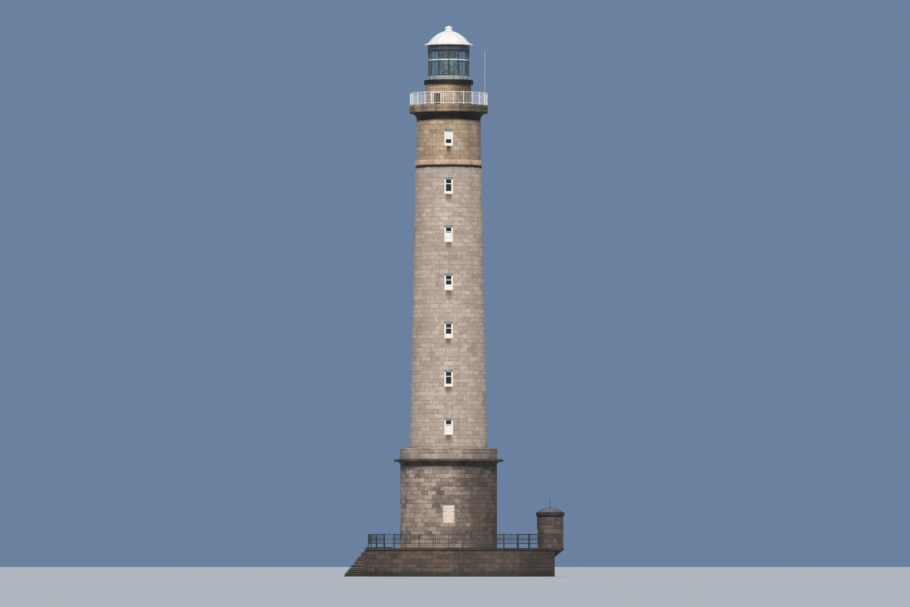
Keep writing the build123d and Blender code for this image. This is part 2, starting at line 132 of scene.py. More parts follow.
def turn_out(bm):
    """Turn every face outwards."""
    bmesh.ops.recalc_face_normals(bm, faces=bm.faces[:])


def sweep_platform(bm, profile):
    """Carry a profile of (grow, height) points round the platform."""
    lines = [[(*point, z) for point in platform_line(grow)] for grow, z in profile]
    rows = [outline(bm, points) for points in zip(*lines)]
    bridge_rows(bm, rows + rows[:1])
    turn_out(bm)


def new_masonry():
    """An empty mesh with the layers that masonry needs."""
    bm = bmesh.new()
    bm.faces.layers.float.new("tone")
    bm.faces.layers.float.new("mortar")
    bm.faces.layers.int.new("column")
    return bm


def cut_stones(bm, stone_of, seed, thick=facing_depth, gap=joint_width, lift=face_lift, loose=0.002):
    """Turn a grid of faces into blocks, each with its joint, arris, tone and slight set.

    stone_of names the block that a face belongs to. A grid that is already closed has no thickness.
    """
    tone = bm.faces.layers.float["tone"]
    bed = bm.faces.layers.float["mortar"]
    fronts = bm.faces[:]
    names = {face: stone_of(face) for face in fronts}
    if thick:
        bmesh.ops.solidify(bm, geom=fronts + bm.edges[:] + bm.verts[:], thickness=thick)
    draw = random.Random(seed)
    tones = {name: draw.random() for name in sorted(set(names.values()))}
    for face in fronts:
        face[tone] = tones[names[face]]
    seams = []
    for edge in bm.edges:
        sides = [names[face] for face in edge.link_faces if face in names]
        if len(sides) == 2 and sides[0] != sides[1]:
            seams.append(edge)
    bmesh.ops.split_edges(bm, edges=seams)
    rim = {"faces": fronts, "use_boundary": True, "use_even_offset": True}
    for face in bmesh.ops.inset_region(bm, thickness=gap / 2, depth=0, **rim)["faces"]:
        face[bed] = 1.0
    bmesh.ops.inset_region(bm, thickness=arris, depth=lift, **rim)
    bm.normal_update()
    blocks = {}
    for face in fronts:
        blocks.setdefault(names[face], []).append(face)
    for name in sorted(blocks):
        push = draw.uniform(-loose, loose)
        for vert in {v for face in blocks[name] for v in face.verts}:
            vert.co += vert.normal * push
    bmesh.ops.remove_doubles(bm, verts=bm.verts[:], dist=weld)


def place(bm, name, material, smooth=radians(35)):
    """Make a finished piece of the mesh, with its material, on the one body."""
    mesh = bpy.data.meshes.new(name)
    bm.normal_update()
    bm.to_mesh(mesh)
    bm.free()
    mesh.shade_smooth()
    mesh.set_sharp_from_angle(angle=smooth)
    mesh.materials.append(material)
    piece = bpy.data.objects.new(name, mesh)
    bpy.context.scene.collection.objects.link(piece)
    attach(piece, "root")
    return piece


def coat(material, *nodes):
    """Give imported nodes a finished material."""
    for name in nodes:
        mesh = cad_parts[name].data
        mesh.materials.clear()
        mesh.materials.append(material)


def feed(socket, value):
    """Link a shader input to another socket, or write a number, a vector or a colour to it."""
    if isinstance(value, bpy.types.NodeSocket):
        socket.id_data.links.new(value, socket)
    else:
        socket.default_value = (*value, 1) if socket.type == "RGBA" else value


def add_node(tree, kind, inputs=(), **settings):
    """A shader node with its settings and inputs."""
    made = tree.nodes.new(kind)
    for name, value in settings.items():
        setattr(made, name, value)
    for key, value in dict(inputs).items():
        feed(made.inputs[key], value)
    return made


def object_place(tree):
    """Object coordinates, which are the model's own metres."""
    return tree.nodes.new("ShaderNodeTexCoord").outputs["Object"]


def split_place(where):
    """The X, Y and Z of a place."""
    return add_node(where.id_data, "ShaderNodeSeparateXYZ", {0: where}).outputs


def attribute(tree, name):
    """A number painted on a piece's faces."""
    return add_node(tree, "ShaderNodeAttribute", attribute_name=name).outputs["Fac"]


def noise(where, scale, detail=4.0, rough=0.55):
    """Cloudy noise between 0 and 1."""
    inputs = {"Vector": where, "Scale": scale, "Detail": detail, "Roughness": rough}
    return add_node(where.id_data, "ShaderNodeTexNoise", inputs).outputs["Fac"]


def stretched(where, scale):
    """Coordinates stretched by a scale on each axis."""
    return add_node(where.id_data, "ShaderNodeMapping", {"Vector": where, "Scale": scale}).outputs["Vector"]


def maths(operation, a, b=0.0):
    """One arithmetic step on a socket and another or a number."""
    tree = (a if isinstance(a, bpy.types.NodeSocket) else b).id_data
    return add_node(tree, "ShaderNodeMath", {0: a, 1: b}, operation=operation).outputs[0]


def plus(a, b):
    """The sum of two values."""
    return maths("ADD", a, b)


def minus(a, b):
    """The first value less the second."""
    return maths("SUBTRACT", a, b)


def times(a, b):
    """The product of two values."""
    return maths("MULTIPLY", a, b)


def band(value, low, high):
    """A smooth rise from 0 at low to 1 at high."""
    inputs = {"Value": value, "From Min": low, "From Max": high}
    made = add_node(value.id_data, "ShaderNodeMapRange", inputs, interpolation_type="SMOOTHSTEP")
    return made.outputs["Result"]


def blend(share, first, second):
    """Mix two colours by a share."""
    inputs = {0: share, 6: first, 7: second}
    return add_node(share.id_data, "ShaderNodeMix", inputs, data_type="RGBA").outputs[2]


def new_group(name, inputs, outputs=("Colour",)):
    """A shader group with named sockets: colours where a value has three numbers, else single values."""
    tree = bpy.data.node_groups.new(name, "ShaderNodeTree")
    for title, value in inputs.items():
        kind = "NodeSocketColor" if isinstance(value, tuple) else "NodeSocketFloat"
        socket = tree.interface.new_socket(title, in_out="INPUT", socket_type=kind)
        socket.default_value = (*value, 1) if isinstance(value, tuple) else value
    for title in outputs:
        kind = "NodeSocketColor" if title == "Colour" else "NodeSocketFloat"
        tree.interface.new_socket(title, in_out="OUTPUT", socket_type=kind)
    return tree, tree.nodes.new("NodeGroupInput").outputs, tree.nodes.new("NodeGroupOutput").inputs


def place_group(tree, group, inputs=(), **amounts):
    """Place a shared group in a material and set or link its inputs, amounts by their small names."""
    inputs = {**dict(inputs), **{title.capitalize(): amount for title, amount in amounts.items()}}
    return add_node(tree, "ShaderNodeGroup", inputs, node_tree=group).outputs


# Granite: each block its own tone, with mottling, ochre patches, dark streaks and stains, and mortar
granite, given, out = new_group(
    "granite_blocks",
    {
        "Pale": (0.60, 0.49, 0.41), "Middle": (0.45, 0.36, 0.29), "Dark": (0.25, 0.19, 0.15),
        "Ochre": (0.42, 0.27, 0.16), "Mortar": (0.30, 0.26, 0.22),
        "Contrast": 0.35, "Stains": 0.5, "Streaks": 0.4, "Spots": 0.5,
    },
    ("Colour", "Roughness", "Height"),
)
where = object_place(granite)
elsewhere = add_node(granite, "ShaderNodeVectorMath", {0: where, 1: (7.3, 2.1, 4.4)}).outputs[0]
tone = attribute(granite, "tone")
mottle = noise(where, 11.0, 6.0, 0.7)
speckle = noise(where, 90.0, 3.0, 0.6)
level = plus(times(mottle, 0.8), times(minus(tone, 0.5), given["Contrast"]))
level = plus(level, times(noise(where, 2.6, 6.0, 0.62), 0.4))
colour = blend(band(level, 0.26, 0.52), given["Dark"], given["Middle"])
colour = blend(band(level, 0.5, 0.82), colour, given["Pale"])
warm = times(band(noise(where, 4.6, 4.0, 0.6), 0.5, 0.66), band(tone, 0.2, 0.9))
colour = blend(times(warm, 0.75), colour, given["Ochre"])
spots = times(band(noise(elsewhere, 5.5, 3.0, 0.55), 0.58, 0.72), given["Spots"])
colour = blend(spots, colour, given["Dark"])
streak = noise(stretched(where, (3.2, 3.2, 0.22)), 1.0, 5.0, 0.6)
colour = blend(times(band(streak, 0.5, 0.72), given["Streaks"]), colour, given["Dark"])
stain = times(band(noise(where, 0.7, 3.0), 0.48, 0.7), given["Stains"])
colour = blend(times(stain, band(mottle, 0.3, 0.6)), colour, given["Dark"])
colour = blend(band(speckle, 0.6, 0.75), colour, given["Pale"])
feed(out["Colour"], blend(times(attribute(granite, "mortar"), 0.85), colour, given["Mortar"]))
feed(out["Roughness"], plus(times(mottle, 0.25), 0.68))
feed(out["Height"], plus(times(mottle, 0.7), times(speckle, 0.3)))

# Darkening that rises towards a level, uneven at its edge: real growth and wet near the foot,
# and painted shade where it reaches down from under an overhang
bare_stone = (0.4, 0.35, 0.3)
growth_and_shade, given, out = new_group(
    "growth_and_shade_band",
    {"Colour": bare_stone, "Growth_and_shade": (0.05, 0.05, 0.03), "Level": 0.5, "Reach": 0.4, "Amount": 0.8},
)
where = object_place(growth_and_shade)
uneven = times(minus(noise(where, 3.0, 6.0, 0.65), 0.5), 1.2)
edge = minus(split_place(where)["Z"], times(uneven, given["Reach"]))
growth_and_shade_share = band(edge, plus(given["Level"], given["Reach"]), given["Level"])
feed(out["Colour"], blend(times(growth_and_shade_share, given["Amount"]), given["Colour"], given["Growth_and_shade"]))

# Darkening towards +X, patchy at its edge: partly grime on the tower's weather side, partly painted
# shade on the side turned from the light
side_grime_and_shade, given, out = new_group(
    "grime_and_shade_side",
    {"Colour": bare_stone, "Grime": (0.06, 0.05, 0.045), "Start": 0.0, "Full": 1.0, "Amount": 0.6},
)
where = object_place(side_grime_and_shade)
patchy = times(minus(noise(where, 1.6, 6.0, 0.65), 0.5), 2.6)
fine = minus(noise(where, 7.0, 4.0, 0.6), 0.5)
edge = plus(split_place(where)["X"], plus(patchy, fine))
mask = times(band(edge, given["Start"], given["Full"]), given["Amount"])
feed(out["Colour"], blend(mask, given["Colour"], given["Grime"]))


def new_material(name, **settings):
    """A material whose shader has some constant settings, with its tree and the shader's inputs."""
    material = bpy.data.materials.new(name)
    material.use_nodes = True
    shader = material.node_tree.nodes["Principled BSDF"].inputs
    for title, value in settings.items():
        feed(shader[title.replace("_", " ")], value)
    return material, material.node_tree, shader


def raise_relief(shader, height, distance, strength=0.6):
    """Feed a height to the shader's normal."""
    inputs = {"Height": height, "Distance": distance, "Strength": strength}
    feed(shader["Normal"], add_node(height.id_data, "ShaderNodeBump", inputs).outputs["Normal"])


def cover(shader, colour, made, distance, strength=0.6):
    """Feed a colour, and the roughness and height of a placed group, to the shader."""
    feed(shader["Base Color"], colour)
    feed(shader["Roughness"], made["Roughness"])
    raise_relief(shader, made["Height"], distance, strength)


def stone_material(name, pale, middle, dark, ochre, mortar, *layers, **amounts):
    """A granite finish with its own colours and amounts, under layers of (group, inputs)."""
    material, tree, shader = new_material(name)
    colours = {"Pale": pale, "Middle": middle, "Dark": dark, "Ochre": ochre, "Mortar": mortar}
    made = place_group(tree, granite, colours, **amounts)
    colour = made["Colour"]
    for group, inputs in layers:
        colour = place_group(tree, group, {"Colour": colour, **inputs})["Colour"]
    cover(shader, colour, made, 0.006)
    return material


platform_stone = stone_material(
    "platform_granite", (0.15, 0.107, 0.08), (0.088, 0.062, 0.047), (0.036, 0.027, 0.022),
    (0.12, 0.066, 0.035), (0.052, 0.041, 0.033),
    (growth_and_shade, {"Growth_and_shade": (0.02, 0.019, 0.013), "Level": 0.1, "Reach": 0.3, "Amount": 0.75}),
    # Painted shadow: a dark band at the wall's head, under the kerb's lip
    (growth_and_shade, {"Growth_and_shade": (0.014, 0.011, 0.009), "Level": platform_head.z, "Reach": -0.1, "Amount": 0.85}),
    # Darker towards the right end: partly grime, partly painted shade on the cant turned from the light
    (side_grime_and_shade, {"Grime": (0.024, 0.021, 0.02), "Start": 2.8, "Full": 4.2, "Amount": 0.55}),
)
coat(platform_stone, "platform_mass", "turret_corbel")
wall_levels = course_levels([platform_foot.z, platform_head.z])
bm = new_masonry()
column = bm.faces.layers.int["column"]
sweep_platform(bm, [(bed_lift, z) for z in wall_levels])


def platform_block(face):
    """Course and place of the block that a face of the platform wall belongs to."""
    row = row_of(wall_levels, face.calc_center_median().z)
    shift = columns_per_stone // 2 * (row % 2)
    return row, (face[column] + shift) % plan_columns // columns_per_stone


cut_stones(bm, platform_block, seed=3)
place(bm, "platform_wall_blocks", platform_stone)

# Deck
# A kerb of long coping stones oversails the platform's wall by a hand and holds in flagstones laid in
# bonded rows. All are granite, bedded in mortar and worn smooth by feet and sea.
deck_foot, deck_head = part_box("deck_paving")
kerb_width = 0.24
kerb_lift = 0.006
kerb_edge = deck_head.y - platform_half - 1.5 * kerb_lift
kerb_low, kerb_high = deck_foot.z + kerb_lift, deck_head.z - kerb_lift
half_flag, flag_width = 0.31, 0.4
flag_lift, flag_loose, least_flag = 0.005, 0.0015, 0.002

deck_stone = stone_material(
    "deck_granite", (0.25, 0.2, 0.165), (0.155, 0.122, 0.1), (0.07, 0.056, 0.047),
    (0.18, 0.11, 0.065), (0.085, 0.072, 0.062), streaks=0.0,
)
# Near-black granite for the kerb: painted shade that stands for the shadow line under its lip, on every face
kerb_shade_stone = stone_material(
    "kerb_granite", (0.085, 0.058, 0.042), (0.047, 0.033, 0.025), (0.019, 0.014, 0.012),
    (0.07, 0.038, 0.02), (0.03, 0.024, 0.02),
)
bm = new_masonry()
column = bm.faces.layers.int["column"]
sweep_platform(bm, [(0.0, kerb_low), (kerb_edge, kerb_low), (kerb_edge, kerb_high), (-kerb_width, kerb_high)])
cut_stones(bm, lambda face: face[column] // (2 * columns_per_stone), seed=5, lift=kerb_lift, loose=0.0)
kerb = place(bm, "deck_kerb", kerb_shade_stone)
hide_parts("deck_paving")

rows_across = ceil(2 * platform_half / flag_width)
halves_along = ceil((platform_half + platform_right) / half_flag)
flags_middle = Vector(((platform_right - platform_half) / 2, 0, kerb_high))
bm = new_masonry()
bmesh.ops.create_grid(bm, x_segments=halves_along, y_segments=rows_across, size=0.5)
bmesh.ops.scale(bm, vec=(halves_along * half_flag, rows_across * flag_width, 1), verts=bm.verts)
bmesh.ops.translate(bm, vec=flags_middle, verts=bm.verts)
inside = platform_line(-kerb_width)
corners = inside[: arc_columns + 1]
corners += [inside[arc_columns + sum(stretch_columns[:k])] for k in range(1, len(stretch_columns))]
for a, b in zip(corners, corners[1:] + corners[:1]):
    outwards = Vector((a.y - b.y, b.x - a.x, 0))
    whole = bm.verts[:] + bm.edges[:] + bm.faces[:]
    bmesh.ops.bisect_plane(bm, geom=whole, plane_co=(*a, 0), plane_no=outwards, clear_outer=True)
scraps = [face for face in bm.faces if face.calc_area() < least_flag]
bmesh.ops.delete(bm, geom=scraps, context="FACES")


def flag_of(face):
    """Row and place of the flagstone that a face belongs to."""
    spot = face.calc_center_median() - flags_middle
    row = int(spot.y / flag_width + rows_across / 2)
    return row, (int(spot.x / half_flag + halves_along / 2) + row % 2) // 2


cut_stones(bm, flag_of, seed=7, lift=flag_lift, loose=flag_loose)
flags = place(bm, "deck_flags", deck_stone)
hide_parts("deck_paving")

# Steps
# Solid granite steps climb against the platform's round end, each cut from one length of stone. Worn
# treads oversail the risers by a thumb, and the straight outer side is coursed.
nosing, worn_edge = 0.018, 0.006
tread_depth, tread_lift = 0.05, 0.004
corner_trim = 0.035
riser_slack = 0.01
outer_edge = platform_half + 0.1


def heights(node):
    """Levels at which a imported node's corners stand."""
    return sorted({round(p.z, 4) for p in corners_of(node)})


def azimuth(point):
    """Turn of a point about the tower, counted from the back."""
    return atan2(-point[0], point[1])


def ease_edges(bm, edges, reach):
    """Round edges over, and give the faces that this makes."""
    return bmesh.ops.bevel(
        bm, geom=edges, offset=reach, segments=2, profile=0.5, affect="EDGES", material=-1
    )["faces"]


step_stone = stone_material(
    "step_granite", (0.18, 0.133, 0.103), (0.11, 0.081, 0.063), (0.046, 0.035, 0.029),
    (0.14, 0.08, 0.044), (0.062, 0.05, 0.041),
    (growth_and_shade, {"Growth_and_shade": (0.024, 0.026, 0.016), "Level": 0.1, "Reach": 0.3, "Amount": 0.75}),
)
coat(step_stone, "landing_steps")
step_levels = heights("landing_steps")
edge_line = []
bm = new_masonry()
tone = bm.faces.layers.float["tone"]
draw = random.Random(9)
for level in step_levels[1:]:
    plan = {(round(p.x, 3), round(p.y, 3)) for p in corners_of("landing_steps") if abs(p.z - level) < close}
    corners = [Vector(corner) for corner in sorted(plan)]
    middle = sum(corners, Vector((0, 0))) / len(corners)
    corners.sort(key=lambda p: atan2(p.y - middle.y, p.x - middle.x))
    riser_turn = max(azimuth(p) for p in corners)
    outer = sorted((p.copy() for p in corners if p.length > outer_edge + 2 * nosing), key=azimuth)
    edge_line += [outer[-1]] if level < step_levels[-1] else [outer[-1], outer[0]]
    for p in corners:
        if azimuth(p) > riser_turn - riser_slack:
            p += nosing * Vector((-p.y, p.x)).normalized()
        if p.length > outer_edge:
            p += nosing * p.normalized()
        p.x = max(p.x, cad_box[0][0] + close)
    loop = outline(bm, [(*p, level + tread_lift) for p in corners], True)
    tread = bmesh.ops.contextual_create(bm, geom=loop)["faces"]
    tread[0][tone] = draw.random()
    bmesh.ops.solidify(bm, geom=tread + loop + list(tread[0].verts), thickness=tread_depth)
turn_out(bm)
ease_edges(bm, bm.edges[:], worn_edge)
place(bm, "step_treads", step_stone)

edge_line[0] = edge_line[0] + corner_trim * (edge_line[1] - edge_line[0]).normalized()
bm = new_masonry()
column = bm.faces.layers.int["column"]
faces_out = [p + bed_lift * p.normalized() for p in edge_line]
bridge_rows(bm, [outline(bm, [(*p, z) for z in step_levels]) for p in faces_out])
above = [face for face in bm.faces if face.calc_center_median().z > step_levels[face[column] + 1]]
bmesh.ops.delete(bm, geom=above, context="FACES")
bm.normal_update()
inwards = [face for face in bm.faces if face.normal.dot(face.calc_center_median() * Vector((1, 1, 0))) < 0]
bmesh.ops.reverse_faces(bm, faces=inwards)


def step_block(face):
    """Course and place of the block that a face of the steps' side belongs to."""
    course = row_of(step_levels, face.calc_center_median().z) // 2
    return course, (face[column] + course % 2) // 2


cut_stones(bm, step_block, seed=10)
place(bm, "step_side_blocks", step_stone)

# Deck railing
# Galvanised square posts, three rails and thin upright bars, painted dark green-grey, stand in
# lead-caulked sockets. Each post has a bolted foot plate and a domed cap.
post_reach = 0.08
plate_radius, plate_edge, plate_height = 0.045, 0.008, 0.014
cap_height, cap_edge_height = 0.012, 0.006
foot_bolt, foot_bolt_height = 0.008, 0.018
bar_radius, bar_spacing, bar_foot, bar_top = 0.0065, 0.085, 0.2, 0.01
widest_panel = 1.0
landing_match = 0.999

# Paint with grime washed down it, and chips and rust where it flakes
paint, given, out = new_group(
    "sea_worn_paint",
    {
        "Paint": (0.8, 0.8, 0.78), "Under": (0.2, 0.08, 0.035), "Grime": (0.25, 0.23, 0.2),
        "Chips": 0.3, "Dirt": 0.4, "Gloss": 0.35, "Scale": 14.0,
    },
    ("Colour", "Roughness", "Height"),
)
where = object_place(paint)
flake = noise(where, given["Scale"], 8.0, 0.7)
chips = times(band(flake, 0.63, 0.68), given["Chips"])
wash = noise(stretched(where, (5.0, 5.0, 0.7)), 1.0, 5.0, 0.6)
dirt = times(band(wash, 0.42, 0.75), given["Dirt"])
feed(out["Colour"], blend(chips, blend(dirt, given["Paint"], given["Grime"]), given["Under"]))
feed(out["Roughness"], plus(plus(given["Gloss"], times(wash, 0.35)), times(chips, 0.3)))
feed(out["Height"], minus(times(flake, 0.3), chips))


def painted(name, coat_colour, under, metallic=0.0, **amounts):
    """A sea-worn paint finish over what its chips show, with its own amounts."""
    material, tree, shader = new_material(name, Metallic=metallic)
    made = place_group(tree, paint, {"Paint": coat_colour, "Under": under}, **amounts)
    cover(shader, made["Colour"], made, 0.002, 0.5)
    return material


def post_feet(node):
    """Middle of each post's foot in a packed railing, from the corners that stand lowest, and their level."""
    ground = min(p.z for p in corners_of(node))
    feet = []
    for spot in sorted({(round(p.x, 4), round(p.y, 4)) for p in corners_of(node) if p.z < ground + close}):
        near = [foot for foot in feet if (foot[0] - Vector(spot)).length < post_reach]
        if near:
            near[0].append(Vector(spot))
        else:
            feet.append([Vector(spot)])
    return [sum(foot, Vector((0, 0))) / len(foot) for foot in feet], ground


def spin_round(bm, profile, steps, closed=False):
    """Spin a profile of (radius, height) points about the upright axis."""
    edges = outline(bm, [(r, 0, z) for r, z in profile], closed)
    geom = edges + list(dict.fromkeys(v for edge in edges for v in edge.verts))
    bmesh.ops.spin(bm, geom=geom, axis=(0, 0, 1), cent=(0, 0, 0), angle=2 * pi, steps=steps, use_merge=True)


def lathe(bm, profile, at=(0, 0), steps=12, closed=False):
    """A turning of a profile, moved to a place."""
    kept = set(bm.verts)
    spin_round(bm, profile, steps, closed)
    made = [v for v in bm.verts if v not in kept]
    bmesh.ops.remove_doubles(bm, verts=made, dist=weld / 4)
    made = [v for v in made if v.is_valid]
    bmesh.ops.translate(bm, verts=made, vec=(*at, 0)[:3])
    return made


def rod(bm, radius, low, high, at=(0, 0), steps=6):
    """A round upright bar between two levels."""
    lathe(bm, [(0, low), (radius, low), (radius, high), (0, high)], at, steps)


def panel_bars(bm, a, b, gaps, radius, low, high):
    """Thin upright bars evenly between two posts."""
    for k in range(1, gaps):
        rod(bm, radius, low, high, a.lerp(b, k / gaps))


def post_fittings(bm, nodes, reach, height):
    """A round foot plate with four bolts and a domed cap on each post."""
    plate = [(0, 0), (reach, 0), (reach, plate_edge), (0.6 * reach, plate_height), (0, plate_height)]
    cap = [(0, 0), (0.5 * reach, 0), (0.5 * reach, cap_edge_height)]
    cap += [(0.36 * reach, height), (0, 1.3 * height)]
    for node in nodes:
        feet, ground = post_feet(node)
        for foot in feet:
            lathe(bm, plate, (*foot, ground))
            lathe(bm, cap, (*foot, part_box(node)[1].z), 8)
            for turn in (radians(45 + 90 * k) for k in range(4)):
                spot = foot + 0.78 * reach * Vector((cos(turn), sin(turn)))
                rod(bm, foot_bolt, ground, ground + foot_bolt_height, spot)


def finish(bm, name, material):
    """Turn the faces outwards and make the piece."""
    turn_out(bm)
    return place(bm, name, material)


deck_rails = ("deck_rail_front", "deck_rail_back", "deck_rail_left")
iron = painted("deck_rail_paint", (0.026, 0.04, 0.046), (0.16, 0.06, 0.03), chips=0.6, dirt=0.3, gloss=0.4)
coat(iron, *deck_rails)
landing = (edge_line[-1] + edge_line[-2]).normalized()
posts = []
for node in deck_rails:
    feet, ground = post_feet(node)
    posts += feet
posts.sort(key=lambda p: azimuth(p - flags_middle.xy))
rail_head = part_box("deck_rail_front")[1].z
bm = bmesh.new()
for a, b in zip(posts, posts[1:] + posts[:1]):
    at_landing = (a + b).normalized().dot(landing) > landing_match
    width = (b - a).length
    if width < widest_panel and not at_landing:
        panel_bars(bm, a, b, round(width / bar_spacing), bar_radius, ground + bar_foot, rail_head - bar_top)
finish(bm, "deck_rail_bars", iron)
bm = bmesh.new()
post_fittings(bm, deck_rails, plate_radius, cap_height)
finish(bm, "deck_rail_fittings", iron)

# Turret
# A small round hut of coursed granite at the deck's end, carried past the wall on a corbel. A moulded
# bed and a slab roof with a low dome finish it, and a boarded door faces the tower.
turret_stones = 12
fine_joint, fine_lift, fine_loose = 0.006, 0.004, 0.0012

# Bearings in degrees, counted from +X
left, back, front = 180, 90, 270


def turn_round(bm, verts, turn):
    """Turn corners about the tower's axis."""
    bmesh.ops.rotate(bm, verts=verts, cent=(0, 0, 0), matrix=Matrix.Rotation(turn, 3, "Z"))


def round_grid(levels, radius_at, stones, towards, half_opening, sides=1):
    """A round wall's grid of faces, whose column lines run straight up beside its openings.

    The openings are on the side that it faces and, with two sides, also across from it.
    """
    step = 2 * pi / (stones * columns_per_stone)
    bm = new_masonry()
    spin_round(bm, [(radius_at(z), z) for z in levels], stones * columns_per_stone)
    turn_out(bm)
    for turn in (0, pi)[:sides]:
        for vert in bm.verts:
            seen = Matrix.Rotation(-turn, 3, "Z") @ vert.co
            radius = hypot(seen.x, seen.y)
            jamb = round(asin(half_opening / radius) / step) * step
            if seen.x > 0 and abs(abs(atan2(seen.y, seen.x)) - jamb) < step / 4:
                seen.y = copysign(half_opening, seen.y)
                seen.x = sqrt(radius**2 - half_opening**2)
                vert.co = Matrix.Rotation(turn, 3, "Z") @ seen
    turn_round(bm, bm.verts[:], radians(towards))
    return bm


def cut_hole(bm, towards, half, foot, head):
    """Take the faces out of an opening in a round grid."""
    turn = Matrix.Rotation(-radians(towards), 3, "Z")
    gone = []
    for face in bm.faces:
        seen = turn @ face.calc_center_median()
        if seen.x > 0 and abs(seen.y) < half and foot < seen.z < head:
            gone.append(face)
    bmesh.ops.delete(bm, geom=gone, context="FACES")


def round_block(levels, stones, towards, shifted=0):
    """A function that names the block of a round wall's face, in bonded courses.

    Every second course, counted from the shifted one, is set on by half a stone.
    """
    step = 2 * pi / (stones * columns_per_stone)

    def block(face):
        middle = face.calc_center_median()
        row = row_of(levels, middle.z)
        turn = (atan2(middle.y, middle.x) - radians(towards)) % (2 * pi)
        shift = columns_per_stone // 2 * ((row + shifted + 1) % 2)
        return row, (int(turn / step) + shift) // columns_per_stone % stones

    return block


turret_foot, turret_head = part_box("turret_wall")
turret_radius = (turret_head.y - turret_foot.y) / 2
turret_x = turret_head.x - turret_radius
door_low, door_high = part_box("turret_door")
turret_stone = stone_material(
    "turret_granite", (0.155, 0.115, 0.1), (0.095, 0.07, 0.06), (0.045, 0.036, 0.032),
    (0.135, 0.066, 0.045), (0.07, 0.057, 0.05), contrast=0.45,
)
coat(turret_stone, "turret_wall")
levels = course_levels([turret_foot.z, door_high.z, turret_head.z])
bm = round_grid(levels, lambda z: turret_radius + bed_lift, turret_stones, left, door_high.y)
cut_hole(bm, left, door_high.y, door_low.z, door_high.z)
cut_stones(bm, round_block(levels, turret_stones, left), seed=11)
bmesh.ops.translate(bm, verts=bm.verts[:], vec=(turret_x, 0, 0))
place(bm, "turret_wall_blocks", turret_stone)


def moulded_blocks(name, profile, stones, material, seed, replaced=None, x=0.0, levels=()):
    """Spin a closed profile into a ring of moulded stones and cut its joints, in one course or more."""
    bm = new_masonry()
    spin_round(bm, profile, stones * columns_per_stone, closed=True)
    turn_out(bm)
    block = round_block(levels, stones, 0, shifted=1)
    cut_stones(bm, block, seed, thick=None, gap=fine_joint, lift=fine_lift, loose=fine_loose)
    bmesh.ops.translate(bm, verts=bm.verts[:], vec=(x, 0, 0))
    piece = place(bm, name, material, smooth=radians(40))
    if replaced:
        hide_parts(replaced)


cap_foot, cap_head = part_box("turret_cap")
cap_radius = (cap_head.y - cap_foot.y) / 2
cap_edge = (cap_foot.z + cap_head.z) / 2
cut = 0.006
core = 0.2
plinth = turret_radius + 0.045
profile = [
    (core, deck_foot.z), (plinth - cut, deck_foot.z), (plinth - cut, deck_head.z - 0.01),
    (plinth - 0.02, deck_head.z + 0.004), (core, deck_head.z + 0.004),
]
# The turret's plinth takes the kerb's near-black granite, which paints shade
moulded_blocks("turret_base", profile, turret_stones, kerb_shade_stone, 12, x=turret_x)

# Dark stone for the cap's band: painted shade of the hollow under the cap's edge, laid over the whole band
cap_shade_stone = stone_material(
    "turret_cap_stone", (0.054, 0.047, 0.048), (0.029, 0.026, 0.028), (0.014, 0.012, 0.013),
    (0.05, 0.035, 0.028), (0.028, 0.025, 0.024), stains=0.8, streaks=0.7,
)
step_in = turret_radius - 0.02
profile = [
    (core, cap_foot.z), (step_in, cap_foot.z), (step_in + 0.03, cap_foot.z + 0.02),
    (cap_radius - 0.03, cap_foot.z + 0.06), (cap_radius - cut, cap_foot.z + 0.075),
    (cap_radius - cut, cap_edge - 0.02), (cap_radius - 0.03, cap_edge), (core, cap_edge),
]
moulded_blocks(
    "turret_cap_band", profile, turret_stones, cap_shade_stone, 14, "turret_cap", turret_x
)

cap_pale = stone_material(
    "turret_dome_stone", (0.19, 0.2, 0.228), (0.122, 0.13, 0.15), (0.056, 0.058, 0.064),
    (0.17, 0.15, 0.12), (0.30, 0.26, 0.22), contrast=0.0, stains=0.4, streaks=0.0,
)
dome_radius, dome_bed = 0.92 * turret_radius, 0.02
dome_rise = cap_head.z - cap_edge
profile = [(0, -dome_bed), (dome_radius, -dome_bed)]
profile += [(dome_radius * cos(a), dome_rise * sin(a)) for a in (radians(9 * k) for k in range(10))]
bm = new_masonry()
lathe(bm, profile, (turret_x, 0, cap_edge), 64)
cap = finish(bm, "turret_dome", cap_pale)
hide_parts("turret_cap")

finial_foot, finial_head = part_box("turret_finial")
finial_radius, rise = finial_head.y, finial_head.z - finial_foot.z
profile = [
    (0, -0.05), (2.2, -0.05), (2.2, 0.03), (1.3, 0.06), (0.5, 0.1), (0.42, 0.8), (0.5, 0.82),
    (0.95, 0.88), (1, 0.92), (0.8, 0.97), (0.3, 1), (0, 1),
]
bm = bmesh.new()
lathe(bm, [(finial_radius * r, rise * z) for r, z in profile], (turret_x, 0, finial_foot.z), 20)
finial = finish(bm, "turret_finial_spike", iron)
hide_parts("turret_finial")

# Doors
# Boarded and panelled oak leaves painted dark red-brown, hung on long strap hinges, with a ring handle
# on a round plate. The drum's window is closed by white shutters made the same way.
strap_share, strap_height, strap_depth = 0.62, 0.03, 0.008
pin_radius, pin_reach, pin_out = 0.011, 0.03, 0.012
stud_shares, stud_radius = (0.25, 0.55, 0.85), 0.007
grip_share, handle_radius, handle_thick, handle_drop = 0.48, 0.02, 0.004, 0.018
lock_share, pair_offset = 0.9, 0.05

